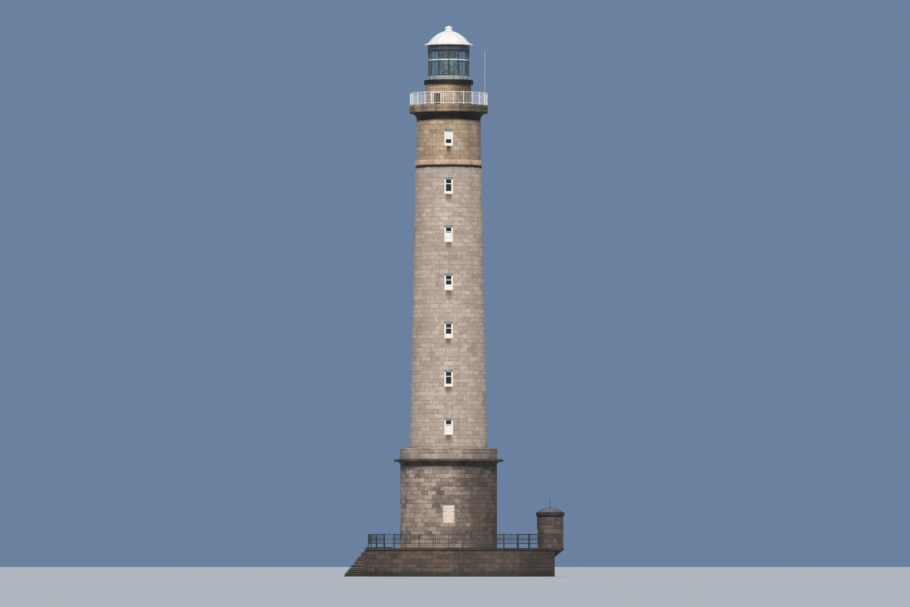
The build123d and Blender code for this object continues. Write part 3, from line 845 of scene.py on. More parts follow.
red = painted(
    "red_brown_door_paint", (0.085, 0.022, 0.016), (0.16, 0.1, 0.06), grime=(0.12, 0.08, 0.06),
    chips=0.4, dirt=0.35, gloss=0.4, scale=22.0,
)
coat(red, "turret_door", "drum_door", "gallery_door")
white = painted(
    "white_shutter_paint", (0.84, 0.69, 0.59), (0.4, 0.33, 0.25), grime=(0.45, 0.4, 0.33),
    chips=0.35, dirt=0.35, gloss=0.4, scale=20.0,
)
coat(white, "drum_shutters")


def bar(bm, size, at, ease=0.0, turn=0.0):
    """A square bar with eased edges, placed on the +X side and then turned about the tower's axis."""
    made = bmesh.ops.create_cube(bm, size=1.0)["verts"]
    bmesh.ops.scale(bm, verts=made, vec=size)
    if ease:
        eased = ease_edges(bm, list({edge for v in made for edge in v.link_edges}), ease)
        made = list({v for face in eased for v in face.verts} | {v for v in made if v.is_valid})
    bmesh.ops.translate(bm, verts=made, vec=at)
    turn_round(bm, made, turn)


def face_out(bm, verts, at, turn=0.0):
    """Lay a turning on its side to face +X, move it, and turn it about the tower's axis."""
    bmesh.ops.rotate(bm, verts=verts, cent=(0, 0, 0), matrix=Matrix.Rotation(pi / 2, 3, "Y"))
    bmesh.ops.translate(bm, verts=verts, vec=at)
    turn_round(bm, verts, turn)


def bent_ring(bm, radius, thick, steps, sides=6, level=0.0):
    """A round bar bent into a ring."""
    turns = [2 * pi * k / sides for k in range(sides)]
    profile = [(radius + thick * cos(a), thick * sin(a)) for a in turns]
    return lathe(bm, profile, (0, 0, level), steps, closed=True)


def door_fittings(name, face, towards, width, foot, head, material, straps=(0.2, 0.8), leaves=1, x=0.0):
    """Strap hinges across each leaf and a ring handle, on a door's outer face.

    face is that face's distance from the axis of its round wall.
    """
    bm = bmesh.new()
    leaf = width / leaves
    length = strap_share * leaf
    for hand in (-1, 1)[:leaves]:
        hung = hand * width / 2
        for z in (foot + share * (head - foot) for share in straps):
            spot = (face + strap_depth / 2, hung - hand * length / 2, z)
            bar(bm, (strap_depth, length, strap_height), spot, ease=0.002)
            rod(bm, pin_radius, z - pin_reach, z + pin_reach, (face + pin_out, hung - hand * pin_out), 10)
            for along in stud_shares:
                stud = bmesh.ops.create_uvsphere(bm, u_segments=8, v_segments=5, radius=stud_radius)["verts"]
                bmesh.ops.translate(bm, verts=stud, vec=(face + strap_depth, hung - hand * length * along, z))
    grip = foot + grip_share * (head - foot)
    free = lock_share * leaf - width / 2 if leaves == 1 else pair_offset
    plate = lathe(bm, [(0, 0), (0.026, 0), (0.026, 0.004), (0.02, 0.008), (0, 0.008)], steps=16)
    face_out(bm, plate, (face, free, grip))
    handle = bent_ring(bm, handle_radius, handle_thick, 20)
    face_out(bm, handle, (face + pin_out, free, grip - handle_drop))
    turn_round(bm, bm.verts[:], radians(towards))
    bmesh.ops.translate(bm, verts=bm.verts[:], vec=(x, 0, 0))
    finish(bm, name, material)


white_iron = painted("white_ironwork", (0.7, 0.68, 0.63), (0.2, 0.09, 0.05), chips=0.5, dirt=0.4)
black_iron = painted(
    "black_ironwork", (0.02, 0.022, 0.024), (0.14, 0.055, 0.03), chips=0.7, dirt=0.3, gloss=0.4
)
door_fittings(
    "turret_door_irons", turret_x - door_low.x, left, 2 * door_high.y, door_low.z, door_high.z, black_iron,
    x=turret_x,
)

# Drum
# The round base of the tower, in dressed granite courses laid to break joint, darker and more stained
# than the shaft. A window closed by white shutters looks to the front and the entrance is at the back.
drum_foot, drum_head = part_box("drum_left_wall")
drum_radius = -drum_foot.x
drum_stones = 36
shutter_low, shutter_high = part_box("drum_shutters")
entry_low, entry_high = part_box("drum_door")
half = shutter_high.x

# A damp dark patch on a wall, block by block and ragged at its edge
damp, given, out = new_group(
    "damp_patch",
    {
        "Colour": bare_stone, "Damp": (0.06, 0.046, 0.038), "Across": 0.0, "Level": 1.0,
        "Size": 0.5, "Amount": 0.6,
    },
)
where = object_place(damp)
axes = split_place(where)
aside = minus(axes["X"], given["Across"])
above = minus(axes["Z"], given["Level"])
distance = maths("SQRT", plus(times(aside, aside), times(above, above)))
ragged = times(minus(noise(where, 4.0, 6.0, 0.7), 0.5), 1.6)
edge = plus(maths("DIVIDE", distance, given["Size"]), ragged)
mask = times(band(edge, 1.0, 0.45), band(attribute(damp, "tone"), 0.95, 0.35))
feed(out["Colour"], blend(times(mask, given["Amount"]), given["Colour"], given["Damp"]))

drum_stone = stone_material(
    "drum_granite", (0.49, 0.385, 0.32), (0.315, 0.245, 0.203), (0.135, 0.102, 0.083),
    (0.3, 0.2, 0.13), (0.15, 0.12, 0.1),
    (damp, {"Across": -0.35, "Level": 3.75, "Size": 0.75, "Amount": 0.5}),
    (damp, {"Across": 1.1, "Level": 4.8, "Size": 1.2, "Amount": 0.6}),
    # Darker towards the right side: partly grime and lichen, partly painted shade on the side turned from the
    # light
    (side_grime_and_shade, {"Grime": (0.066, 0.048, 0.038), "Start": -0.2, "Full": 1.3, "Amount": 0.76}),
    # Painted shadow: a dark band at the drum's head, under the cornice
    (growth_and_shade, {"Growth_and_shade": (0.05, 0.042, 0.036), "Level": drum_head.z, "Reach": -0.3, "Amount": 0.6}),
    contrast=0.5, stains=0.7, streaks=0.5, spots=0.6,
)
coat(drum_stone, "drum_left_wall", "drum_right_wall", "drum_front_wall", "drum_back_wall")
levels = course_levels([drum_foot.z, shutter_low.z, shutter_high.z, drum_head.z])
bm = round_grid(levels, lambda z: drum_radius + bed_lift, drum_stones, front, half, sides=2)
middles = {face: face.calc_center_median() for face in bm.faces}
over_entry = [face for face, middle in middles.items() if middle.y > 0 and abs(middle.x) < half]
edges = {edge for face in over_entry for edge in face.edges}
verts = {vert for face in over_entry for vert in face.verts}
bmesh.ops.bisect_plane(
    bm, geom=[*over_entry, *edges, *verts], plane_co=(0, 0, entry_high.z), plane_no=(0, 0, 1)
)
cut_hole(bm, front, half, shutter_low.z, shutter_high.z)
cut_hole(bm, back, half, entry_low.z, entry_high.z)
cut_stones(bm, round_block(levels, drum_stones, front), seed=13)
place(bm, "drum_wall_blocks", drum_stone)
door_fittings(
    "drum_door_irons", entry_high.y, back, 2 * half, entry_low.z, entry_high.z, black_iron,
    (0.15, 0.5, 0.85), 2,
)
door_fittings(
    "shutter_irons", -shutter_low.y, front, 2 * half, shutter_low.z, shutter_high.z, white_iron,
    (0.16, 0.6), 2,
)

# Drum cornice and parapet
# A ring of moulded stones throws the rain clear of the drum. On it stands a low wall in two courses
# with rounded coping stones, round a narrow terrace at the shaft's foot.
ring_stones = 32
well_radius = 0.85
bed_height = 0.2
coping_lip, coping_height, parapet_thick = 0.022, 0.06, 0.15


def cove_points(radius, level, reach, rise, count=8):
    """A hollow quarter-round moulding, from a wall to its widest."""
    turns = [radians(90 * k / count) for k in range(count + 1)]
    return [(radius + reach * (1 - cos(a)), level + rise * sin(a)) for a in turns]


cornice_foot, cornice_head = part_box("drum_cornice")
cornice_radius = cornice_head.x
edge_foot = cornice_foot.z + bed_height
# Near-black granite for the drum's cornice: partly dark stone, partly painted shade standing for the dark
# line it throws
cornice_shade_stone = stone_material(
    "cornice_granite", (0.11, 0.086, 0.07), (0.06, 0.047, 0.038), (0.022, 0.018, 0.015),
    (0.09, 0.055, 0.033), (0.045, 0.037, 0.03), stains=0.8, streaks=0.7,
)
profile = [
    (well_radius, cornice_foot.z),
    *cove_points(drum_radius - cut, cornice_foot.z, bed_height, bed_height),
    (cornice_radius - 0.02 - cut, edge_foot), (cornice_radius - cut, edge_foot + 0.014),
    (cornice_radius - cut, cornice_head.z - 0.03), (cornice_radius - 0.03, cornice_head.z - cut),
    (well_radius, cornice_head.z - cut),
]
moulded_blocks(
    "drum_cornice_blocks", profile, ring_stones, cornice_shade_stone, 17, "drum_cornice"
)

parapet_foot, parapet_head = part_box("drum_parapet")
parapet_stone = stone_material(
    "parapet_granite", (0.5, 0.41, 0.36), (0.36, 0.285, 0.245), (0.17, 0.13, 0.11),
    (0.36, 0.25, 0.17), (0.22, 0.19, 0.16),
    # Darker towards the right side: partly grime, partly painted shade on the side turned from the light
    (side_grime_and_shade, {"Grime": (0.11, 0.08, 0.07), "Start": 0.5, "Full": 2.0, "Amount": 0.62}),
    streaks=0.5,
)
coping_radius = parapet_head.x
outer = coping_radius - coping_lip - cut
inner = coping_radius - coping_lip - parapet_thick
coping_foot = parapet_head.z - coping_height
half_way = (parapet_foot.z + coping_foot) / 2
profile = [
    (inner, parapet_foot.z), (outer, parapet_foot.z), (outer, half_way), (outer, coping_foot),
    (coping_radius - cut, coping_foot), (coping_radius - cut, parapet_head.z - 0.025),
    (coping_radius - 0.02, parapet_head.z - cut), (inner + 0.02, parapet_head.z - cut),
    (inner - 0.004, parapet_head.z - 0.025), (inner - 0.004, coping_foot), (inner, coping_foot),
    (inner, half_way),
]
moulded_blocks(
    "parapet_blocks", profile, ring_stones, parapet_stone, 19, "drum_parapet",
    levels=(parapet_foot.z, half_way, coping_foot - close, parapet_head.z),
)

# Shaft
# The tapering tower of pale pink-grey granite, in courses that run into the jambs of the windows, one
# above another to the front and the back. Its blocks vary from grey to ochre, stained under each sill.
tower_stones = 24


def widest(node, level):
    """Greatest distance from the tower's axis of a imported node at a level."""
    return max(hypot(p.x, p.y) for p in corners_of(node) if abs(p.z - level) < close)


shaft_foot, shaft_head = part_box("shaft_left_wall")
shaft_wide, shaft_narrow = -shaft_foot.x, widest("shaft_left_wall", shaft_head.z)
sill_levels = heights("window_sills")
sill_feet, sill_tops = sill_levels[::2], sill_levels[1::2]
window_heads = heights("window_frames_front")[3::4]
window_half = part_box("window_sills")[1].x

# Stains that run down the wall from each sill, fading and fraying as they fall
stains, given, out = new_group(
    "sill_stains",
    {
        "Colour": bare_stone, "Stain": (0.1, 0.07, 0.05), "First": 6.66, "Spacing": 2.27, "Length": 0.5,
        "Half": 0.2, "Amount": 0.8,
    },
)
where = object_place(stains)
axes = split_place(where)
ragged = noise(stretched(where, (14.0, 14.0, 2.5)), 1.0, 5.0, 0.65)
turns = maths("DIVIDE", minus(given["First"], axes["Z"]), given["Spacing"])
drop = times(minus(turns, maths("FLOOR", turns)), given["Spacing"])
fall = minus(1.0, maths("DIVIDE", drop, given["Length"]))
aside = maths("DIVIDE", maths("ABSOLUTE", axes["X"]), given["Half"])
near = band(plus(aside, times(ragged, 0.7)), 1.35, 0.75)
mask = times(times(near, band(fall, 0.0, 0.9)), given["Amount"])
feed(out["Colour"], blend(mask, given["Colour"], given["Stain"]))

sill_spacing = {"First": sill_feet[0], "Spacing": sill_feet[1] - sill_feet[0]}
shaft_stone = stone_material(
    "shaft_granite", (0.62, 0.52, 0.45), (0.46, 0.365, 0.30), (0.26, 0.195, 0.155),
    (0.44, 0.28, 0.18), (0.33, 0.28, 0.24),
    (stains, sill_spacing),
    # Painted shadow: a black band at the shaft's head, under the string course
    (growth_and_shade, {"Growth_and_shade": (0.018, 0.013, 0.01), "Level": shaft_head.z - 0.09, "Reach": -0.08, "Amount": 1.0}),
    contrast=0.3, stains=0.25, streaks=0.3,
)
coat(shaft_stone, "shaft_left_wall", "shaft_right_wall", "shaft_front_wall", "shaft_back_wall")


def tower_wall(name, foot, head, radius_at, material, seed):
    """A stretch of the tower's facing, with its window openings front and back."""
    rows = [(a, b) for a, b in zip(sill_feet, window_heads) if foot < a < head]
    levels = course_levels([foot, *[level for pair in rows for level in pair], head])
    bm = round_grid(levels, radius_at, tower_stones, front, window_half, sides=2)
    for low, high in rows:
        cut_hole(bm, front, window_half, low, high)
        cut_hole(bm, back, window_half, low, high)
    cut_stones(bm, round_block(levels, tower_stones, front), seed)
    place(bm, name, material)


def shaft_radius(z):
    """Radius of the shaft's bed at a height."""
    share = (z - shaft_foot.z) / (shaft_head.z - shaft_foot.z)
    return shaft_wide + (shaft_narrow - shaft_wide) * share + bed_lift


tower_wall("shaft_wall_blocks", shaft_foot.z, shaft_head.z, shaft_radius, shaft_stone, 23)

# String course and crown
# A projecting band ends the shaft. The crown above it is upright, of warmer stone, with a window in
# line with the others.
nose = 0.05
string_foot, string_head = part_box("string_course")
string_radius = string_head.x - cut
string_stone = stone_material(
    "string_course_granite", (0.74, 0.56, 0.42), (0.58, 0.41, 0.29), (0.25, 0.17, 0.12),
    (0.54, 0.32, 0.18), (0.34, 0.26, 0.19), stains=0.35,
)
profile = [
    (well_radius, string_foot.z), (string_radius - nose, string_foot.z),
    (string_radius - 0.01, string_foot.z + 0.03), (string_radius, string_foot.z + nose),
    (string_radius, string_head.z - nose), (string_radius - 0.012, string_head.z - 0.02),
    (string_radius - nose, string_head.z), (well_radius, string_head.z),
]
moulded_blocks("string_course_blocks", profile, tower_stones, string_stone, 29, "string_course")

crown_foot, crown_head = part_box("crown_wall")
crown_radius = crown_head.x
crown_stone = stone_material(
    "crown_granite", (0.60, 0.47, 0.35), (0.43, 0.30, 0.20), (0.2, 0.125, 0.085),
    (0.42, 0.24, 0.12), (0.28, 0.21, 0.15),
    (stains, {**sill_spacing, "Stain": (0.035, 0.022, 0.014), "Half": 0.15, "Amount": 0.95}),
    # Darker towards the right side: partly grime, partly painted shade on the side turned from the light
    (side_grime_and_shade, {"Grime": (0.17, 0.115, 0.08), "Start": 0.3, "Full": 1.6, "Amount": 0.5}),
    # Painted shade: a dark band at the crown's head, under the gallery's overhang
    (growth_and_shade, {"Growth_and_shade": (0.03, 0.022, 0.015), "Level": crown_head.z, "Reach": -0.12, "Amount": 0.85}),
    contrast=0.35, stains=0.45, streaks=0.4,
)
coat(crown_stone, "crown_wall")
tower_wall(
    "crown_wall_blocks", crown_foot.z, crown_head.z, lambda z: crown_radius + bed_lift, crown_stone, 31
)

# Windows
# White painted casements with a top and a bottom light, set back in the wall on projecting sills of
# pale dressed stone. The jambs are lined, white boards close parts of some, and salt hazes the panes.
frame_width = 0.042
sash_depth, sash_shy, sash_ease = 0.022, 0.004, 0.003
stile, transom, transom_rise = 0.045, 0.034, 0.12
reveal, lining, lining_shy = 0.1, 0.012, 0.002
catch_size, catch_out, catch_drop = (0.02, 0.014, 0.06), 0.008, 0.1
board_thick, board_shy = 0.006, 0.008

sill_stone = stone_material(
    "sill_stone", (0.86, 0.84, 0.8), (0.76, 0.73, 0.68), (0.45, 0.4, 0.35), (0.6, 0.5, 0.38),
    (0.30, 0.26, 0.22), contrast=0.0, stains=0.25, streaks=0.15,
)
coat(sill_stone, "window_sills")
window_white = painted(
    "window_paint", (0.84, 0.84, 0.81), (0.42, 0.34, 0.26), grime=(0.5, 0.45, 0.38),
    chips=0.3, dirt=0.3, gloss=0.38, scale=26.0,
)
coat(window_white, "window_frames_front", "window_frames_back")

glass, given, out = new_group("salt_haze", {"Clear": 0.03, "Hazed": 0.35, "Amount": 0.6}, ("Roughness",))
haze = times(band(noise(object_place(glass), 6.0, 6.0, 0.7), 0.45, 0.75), given["Amount"])
feed(out["Roughness"], plus(given["Clear"], times(haze, minus(given["Hazed"], given["Clear"]))))


def glazing(name, colour, transmission, **amounts):
    """Glass with an uneven haze of salt, which lets light through to what stands behind it."""
    material, tree, shader = new_material(name, Base_Color=colour, Transmission_Weight=transmission, IOR=1.5)
    shadow = add_node(tree, "ShaderNodeLightPath").outputs["Is Shadow Ray"]
    feed(shader["Alpha"], minus(1.0, times(shadow, transmission)))
    feed(shader["Roughness"], place_group(tree, glass, **amounts)["Roughness"])
    raise_relief(shader, noise(object_place(tree), 1.7, 2.0), 0.002, 0.2)
    return material


# The near-black tint is painted shade: it stands for the unlit rooms behind the panes
coat(glazing("window_glass", (0.045, 0.05, 0.055), 0.5), "window_panes")


def frame_face(level):
    """Distance of a window frame's outer face from the tower's axis, by the level of its head."""
    return max(-p.y for p in corners_of("window_frames_front") if abs(p.z - level) < close)


# Shares of a front sash's height that a white board closes, by window from the lowest
boards = {0: (0.05, 0.55), 2: (0.05, 0.2), 3: (0.05, 0.28), 4: (0.05, 0.55), 6: (0.36, 0.96)}
for side, turn in (("front", radians(front)), ("back", radians(back))):
    bm = bmesh.new()
    for number, (foot, head) in enumerate(zip(sill_tops, window_heads)):
        face = frame_face(head)
        sash_face = face - sash_shy
        sash_middle = sash_face - sash_depth / 2
        middle = (foot + head) / 2
        tall, wide = head - foot - 2 * frame_width, 2 * window_half - 2 * frame_width
        for hand in (-1, 1):
            spot = (sash_middle, hand * (wide - stile) / 2, middle)
            bar(bm, (sash_depth, stile, tall), spot, sash_ease)
            spot = (face + reveal / 2, hand * (window_half - lining / 2 - lining_shy), middle)
            bar(bm, (reveal, lining, head - foot), spot, 0.002)
        ends = (tall - stile) / 2
        for up, deep in ((ends, stile), (-ends, stile), (transom_rise * tall, transom)):
            bar(bm, (sash_depth, wide - 2 * stile, deep), (sash_middle, 0, middle + up), sash_ease)
        spot = (sash_face + catch_out, (wide - stile) / 2, middle - catch_drop * tall)
        bar(bm, catch_size, spot, sash_ease)
        if side == "front" and number in boards:
            low, high = boards[number]
            spot = (sash_face - board_shy, 0, middle + ((low + high) / 2 - 0.5) * tall)
            bar(bm, (board_thick, wide - 2 * stile, (high - low) * tall), spot, 0.001)
    turn_round(bm, bm.verts[:], turn)
    finish(bm, f"window_casements_{side}", window_white)

# Gallery
# The crown flares through a deep hollow moulding into a round balcony of granite slabs. A white iron
# railing of posts, two rails and close upright bars runs round its edge.
cove_reach, cove_rise = 0.35, 0.35
seat_radius, seat_drop = 0.93, 0.08
baluster, baluster_foot, panel_gaps = 0.006, 0.05, 6
small_plate, small_cap = 0.034, 0.01
gallery_foot, gallery_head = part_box("gallery_cornice")
gallery_radius = gallery_head.x
gallery_edge = gallery_foot.z + cove_rise
gallery_stone = stone_material(
    "gallery_granite", (0.47, 0.33, 0.22), (0.27, 0.178, 0.118), (0.07, 0.056, 0.044),
    (0.46, 0.23, 0.11), (0.15, 0.115, 0.085),
    # Darker towards the right side: partly grime, partly painted shade on the side turned from the light
    (side_grime_and_shade, {"Grime": (0.066, 0.062, 0.05), "Start": -0.2, "Full": 1.4, "Amount": 0.75}),
    # Painted shade: the hollow moulding under the gallery's edge is darkened nearly to black
    (growth_and_shade, {"Growth_and_shade": (0.012, 0.009, 0.006), "Level": gallery_edge, "Reach": 0.03, "Amount": 0.95}),
    contrast=0.4, stains=0.7, streaks=0.8,
)
profile = [
    (well_radius, gallery_foot.z),
    *cove_points(crown_radius - cut, gallery_foot.z, cove_reach, cove_rise, 10),
    (gallery_radius - cut, gallery_edge + 0.02), (gallery_radius - cut, gallery_edge + 0.16),
    (gallery_radius - 0.03, gallery_edge + 0.175), (gallery_radius - 0.03, gallery_edge + 0.19),
    (gallery_radius - cut, gallery_edge + 0.2), (gallery_radius - cut, gallery_head.z - 0.03),
    (gallery_radius - 0.03, gallery_head.z - cut), (seat_radius, gallery_head.z - cut),
    (seat_radius, gallery_head.z - seat_drop), (well_radius, gallery_head.z - seat_drop),
]
moulded_blocks(
    "gallery_cornice_blocks", profile, tower_stones, gallery_stone, 37,
    "gallery_cornice",
)
coat(gallery_stone, "gallery_floor")

gallery_white = painted(
    "gallery_rail_paint", (0.86, 0.87, 0.86), (0.3, 0.14, 0.07), grime=(0.5, 0.47, 0.42),
    chips=0.3, dirt=0.2, gloss=0.35,
)
coat(gallery_white, "gallery_rail")
posts, ground = post_feet("gallery_rail")
posts.sort(key=lambda p: atan2(p.y, p.x))
rail_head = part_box("gallery_rail")[1].z
bm = bmesh.new()
for a, b in zip(posts, posts[1:] + posts[:1]):
    panel_bars(bm, a, b, panel_gaps, baluster, ground + baluster_foot, rail_head - bar_top)
finish(bm, "gallery_rail_bars", gallery_white)
bm = bmesh.new()
post_fittings(bm, ["gallery_rail"], small_plate, small_cap)
finish(bm, "gallery_rail_fittings", gallery_white)

# Watch room
# A low round room in the same warm stone carries the lantern. Its low door, in a white frame that is
# wider at the hinges, opens on the gallery.
watch_stones = 16
watch_course = 0.19
trim_deep, trim_wide, hung_wide, trim_proud, trim_ease = 0.075, 0.035, 0.085, 0.01, 0.004
watch_foot, watch_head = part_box("watch_room_wall")
watch_radius = widest("watch_room_wall", watch_foot.z)
door_corners = corners_of("gallery_door")
door_middle = sum(door_corners, Vector()) / len(door_corners)
door_facing = degrees(atan2(door_middle.y, door_middle.x)) % 360
seen = [Matrix.Rotation(-radians(door_facing), 3, "Z") @ corner for corner in door_corners]
door_out, half, door_head = (max(corner[axis] for corner in seen) for axis in range(3))
watch_stone = stone_material(
    "watch_room_granite", (0.7, 0.53, 0.38), (0.5, 0.345, 0.22), (0.19, 0.125, 0.08),
    (0.52, 0.3, 0.14), (0.32, 0.24, 0.17),
    # Darker towards the right side: partly grime, partly painted shade on the side turned from the light
    (side_grime_and_shade, {"Grime": (0.065, 0.046, 0.032), "Start": 0.0, "Full": 0.75, "Amount": 0.8}),
    stains=0.4, streaks=0.5,
)
coat(watch_stone, "watch_room_wall")
levels = course_levels([watch_foot.z, door_head, watch_head.z], watch_course)
bm = round_grid(levels, lambda z: watch_radius + bed_lift, watch_stones, door_facing, half)
cut_hole(bm, door_facing, half, watch_foot.z, door_head)
cut_stones(bm, round_block(levels, watch_stones, door_facing), seed=41)
place(bm, "watch_room_blocks", watch_stone)

trim_middle = watch_radius + trim_proud - trim_deep / 2
tall = door_head - watch_foot.z
bm = bmesh.new()
for hand, wide in ((-1, hung_wide), (1, trim_wide)):
    spot = (trim_middle, hand * (half + wide / 2), watch_foot.z + tall / 2)
    bar(bm, (trim_deep, wide, tall), spot, trim_ease)
spot = (trim_middle, (trim_wide - hung_wide) / 2, door_head + trim_wide / 2)
bar(bm, (trim_deep, 2 * half + trim_wide + hung_wide, trim_wide), spot, trim_ease)
turn_round(bm, bm.verts[:], radians(door_facing))
finish(bm, "gallery_door_frame", window_white)
door_fittings(
    "gallery_door_irons", door_out, door_facing, 2 * half, watch_foot.z, door_head, black_iron,
)

# Lantern floor and wall
# A black cast-iron sole plate with a moulded rim is bolted down on the watch room. Twelve low iron wall
# panels stand on it, bolted at their flanges, each with a round ventilator.
sides = 12
side_turn = 2 * pi / sides
side_turns = [side_turn * (k + 0.5) for k in range(sides)]
rim_bolts, rim_bolt_rise, rim_bolt_sink = 48, 0.1, 0.004
flange, flange_ease, flange_bolts = 0.018, 0.003, (-0.32, -0.11, 0.11, 0.32)
corner_bead = 0.016
sole_foot, sole_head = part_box("lantern_floor")
sole_radius = sole_head.x
wall_foot, wall_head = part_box("lantern_wall")
corner_radius = wall_head.x
apothem = corner_radius * cos(side_turn / 2)
side_width = 2 * corner_radius * sin(side_turn / 2)
lantern_black = painted(
    "lantern_black_paint", (0.008, 0.0065, 0.005), (0.09, 0.04, 0.022), grime=(0.035, 0.027, 0.02),
    chips=0.3, dirt=0.3, gloss=0.5,
)
lantern_pale = painted(
    "lantern_pale_paint", (0.42, 0.44, 0.46), (0.3, 0.15, 0.08), grime=(0.26, 0.21, 0.18),
    chips=0.4, dirt=0.6,
)
coat(lantern_black, "lantern_floor")
coat(lantern_pale, "lantern_wall")
bolt = [(0, -0.002), (0.009, -0.002), (0.009, 0.006), (0.006, 0.009), (0, 0.009)]


def boss(bm, profile, at, turn, steps=6):
    """A small turning that faces outwards. at is its distance, offset and height before the turn."""
    face_out(bm, lathe(bm, profile, steps=steps), at, turn)


def bolt_row(bm, shares, distance, level, turn):
    """Bolts across one side of the lantern, at shares of its width."""
    for share in shares:
        boss(bm, bolt, (distance, share * side_width, level), turn)


def corner_rod(bm, radius, low, high, turn, steps):
    """A round bar up the corner beside a side of the lantern."""
    post = turn + side_turn / 2
    rod(bm, radius, low, high, (corner_radius * cos(post), corner_radius * sin(post)), steps)


rim = [
    (-0.06, 0.004), (0.0, 0.004), (0.008, 0.012), (0.008, 0.028), (-0.002, 0.04), (-0.002, 0.16),
    (0.008, 0.172), (0.008, 0.19), (0.0, 0.204), (-0.06, 0.204),
]
bm = bmesh.new()
lathe(bm, [(sole_radius + r, z) for r, z in rim], (0, 0, sole_foot.z), 96, closed=True)
for k in range(rim_bolts):
    spot = (sole_radius - rim_bolt_sink, 0, sole_foot.z + rim_bolt_rise)
    boss(bm, bolt, spot, 2 * pi * (k + 0.5) / rim_bolts)
finish(bm, "lantern_rim", lantern_black)

ventilator = [
    (0, -0.002), (0.06, -0.002), (0.06, 0.008), (0.048, 0.012), (0.048, 0.005), (0.034, 0.005),
    (0.034, 0.014), (0.022, 0.014), (0.022, 0.005), (0.014, 0.005), (0.012, 0.02), (0, 0.022),
]
bm = bmesh.new()
for turn in side_turns:
    for z in (wall_foot.z + flange / 2, wall_head.z - flange / 2):
        bar(bm, (flange, side_width, flange), (apothem, 0, z), flange_ease, turn)
        bolt_row(bm, flange_bolts, apothem + flange / 2, z, turn)
    boss(bm, ventilator, (apothem, 0, (wall_foot.z + wall_head.z) / 2), turn, 20)
    corner_rod(bm, corner_bead, wall_foot.z, wall_head.z, turn, 8)
finish(bm, "lantern_wall_fittings", lantern_pale)

# Lantern glazing
# Dark blue-green astragals with gunmetal cover strips hold two tiers of panes, and a pale transom rail
# runs round between the tiers. A small handhold stands at each corner for the window cleaner.
astragal_deep, astragal_wide = 0.034, 0.016
astragal_in, astragal_end, astragal_ease = 0.02, 0.025, 0.003
corner_bar, glazing_bolts, bolt_margin = 0.017, (-0.4, -0.2, 0.2, 0.4), 0.03
transom_deep, transom_short, transom_high, transom_ease = 0.02, 0.03, 0.06, 0.004
grip_radius, grip_thick, grip_out, grip_rise = 0.026, 0.005, 0.02, 0.1
tier_margin = 0.2
glazing_foot, glazing_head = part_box("lantern_frame")
low, high = glazing_foot.z + tier_margin, glazing_head.z - tier_margin
between = [z for z in heights("lantern_frame") if low < z < high]
transom_level = sum(between) / len(between)
lantern_green = painted(
    "lantern_frame_paint", (0.032, 0.058, 0.07), (0.16, 0.08, 0.04), chips=0.4, dirt=0.3
)
transom_paint = painted("transom_paint", (0.62, 0.76, 0.86), (0.2, 0.12, 0.07), chips=0.3, dirt=0.3)
coat(lantern_green, "lantern_frame")
coat(glazing("lantern_panes", (0.7, 0.79, 0.83), 0.95, hazed=0.08, amount=0.4), "lantern_glass")
tall = glazing_head.z - glazing_foot.z - 2 * astragal_end
bm = bmesh.new()
for turn in side_turns:
    spot = (apothem - astragal_in, 0, glazing_foot.z + astragal_end + tall / 2)
    bar(bm, (astragal_deep, astragal_wide, tall), spot, astragal_ease, turn)
    corner_rod(bm, corner_bar, glazing_foot.z, glazing_head.z, turn, 10)
    for z in (glazing_foot.z + bolt_margin, glazing_head.z - bolt_margin):
        bolt_row(bm, glazing_bolts, apothem, z, turn)
finish(bm, "lantern_astragals", lantern_green)
bm = bmesh.new()
for turn in side_turns:
    size = (transom_deep, side_width - transom_short, transom_high)
    bar(bm, size, (apothem, 0, transom_level), transom_ease, turn)
    grip = bent_ring(bm, grip_radius, grip_thick, 16)
    bmesh.ops.translate(bm, verts=grip, vec=(corner_radius + grip_out, 0, transom_level + grip_rise))
    turn_round(bm, grip, turn + side_turn / 2)
finish(bm, "lantern_transom", transom_paint)

# Lens
# A fixed eight-panel optic of cut glass prisms in brass, with a bullseye in the middle of each panel. It
# stands on an iron pedestal with a toothed ring.
panels = 8
panel_turn = 2 * pi / panels
panel_turns = [panel_turn * (k + 0.5) for k in range(panels)]
eye_radius, eye_rise, eye_depth = 0.13, 0.036, 0.03
brass_radius, brass_proud = 0.011, 0.004
rim_in, rim_out, end_ring_in, end_ring_half = 0.002, 0.012, 0.03, 0.01
table_in, table_out, table_low, table_high = 0.04, 0.035, 0.05, 0.015
ring_teeth, tooth_size, tooth_out, tooth_drop = 60, (0.012, 0.01, 0.03), 0.038, 0.032
brass = painted(
    "lens_brass", (0.62, 0.42, 0.16), (0.25, 0.3, 0.18), metallic=1.0, grime=(0.3, 0.22, 0.1),
    chips=0.3, dirt=0.5, gloss=0.22,
)
lens_glass = glazing("lens_prisms", (0.47, 0.57, 0.57), 0.65, hazed=0.12)
coat(lens_glass, "lens")
coat(lantern_black, "lens_pedestal")


def pipe(bm, path, radius, turn=0.0, segments=8):
    """A round bar through (distance, height) points of an upright plane, turned about the axis."""
    made, loops = [], []
    points = [Vector((r, 0, z)) for r, z in path]
    for k, point in enumerate(points):
        along = points[min(k + 1, len(points) - 1)] - points[max(k - 1, 0)]
        spot = Matrix.Translation(point) @ along.to_track_quat("Z", "Y").to_matrix().to_4x4()
        ring = bmesh.ops.create_circle(
            bm, segments=segments, radius=radius, cap_ends=k in (0, len(points) - 1), matrix=spot
        )["verts"]
        loops.append(list({edge for v in ring for edge in v.link_edges}))
        made += ring
    for loop, beyond in zip(loops, loops[1:]):
        bmesh.ops.bridge_loops(bm, edges=loop + beyond)
    turn_round(bm, made, turn)


def hoop(bm, inner, outer, low, high, steps):
    """A flat band bent into a ring."""
    profile = [(inner, low), (outer, low), (outer, high), (inner, high)]
    return lathe(bm, profile, steps=steps, closed=True)


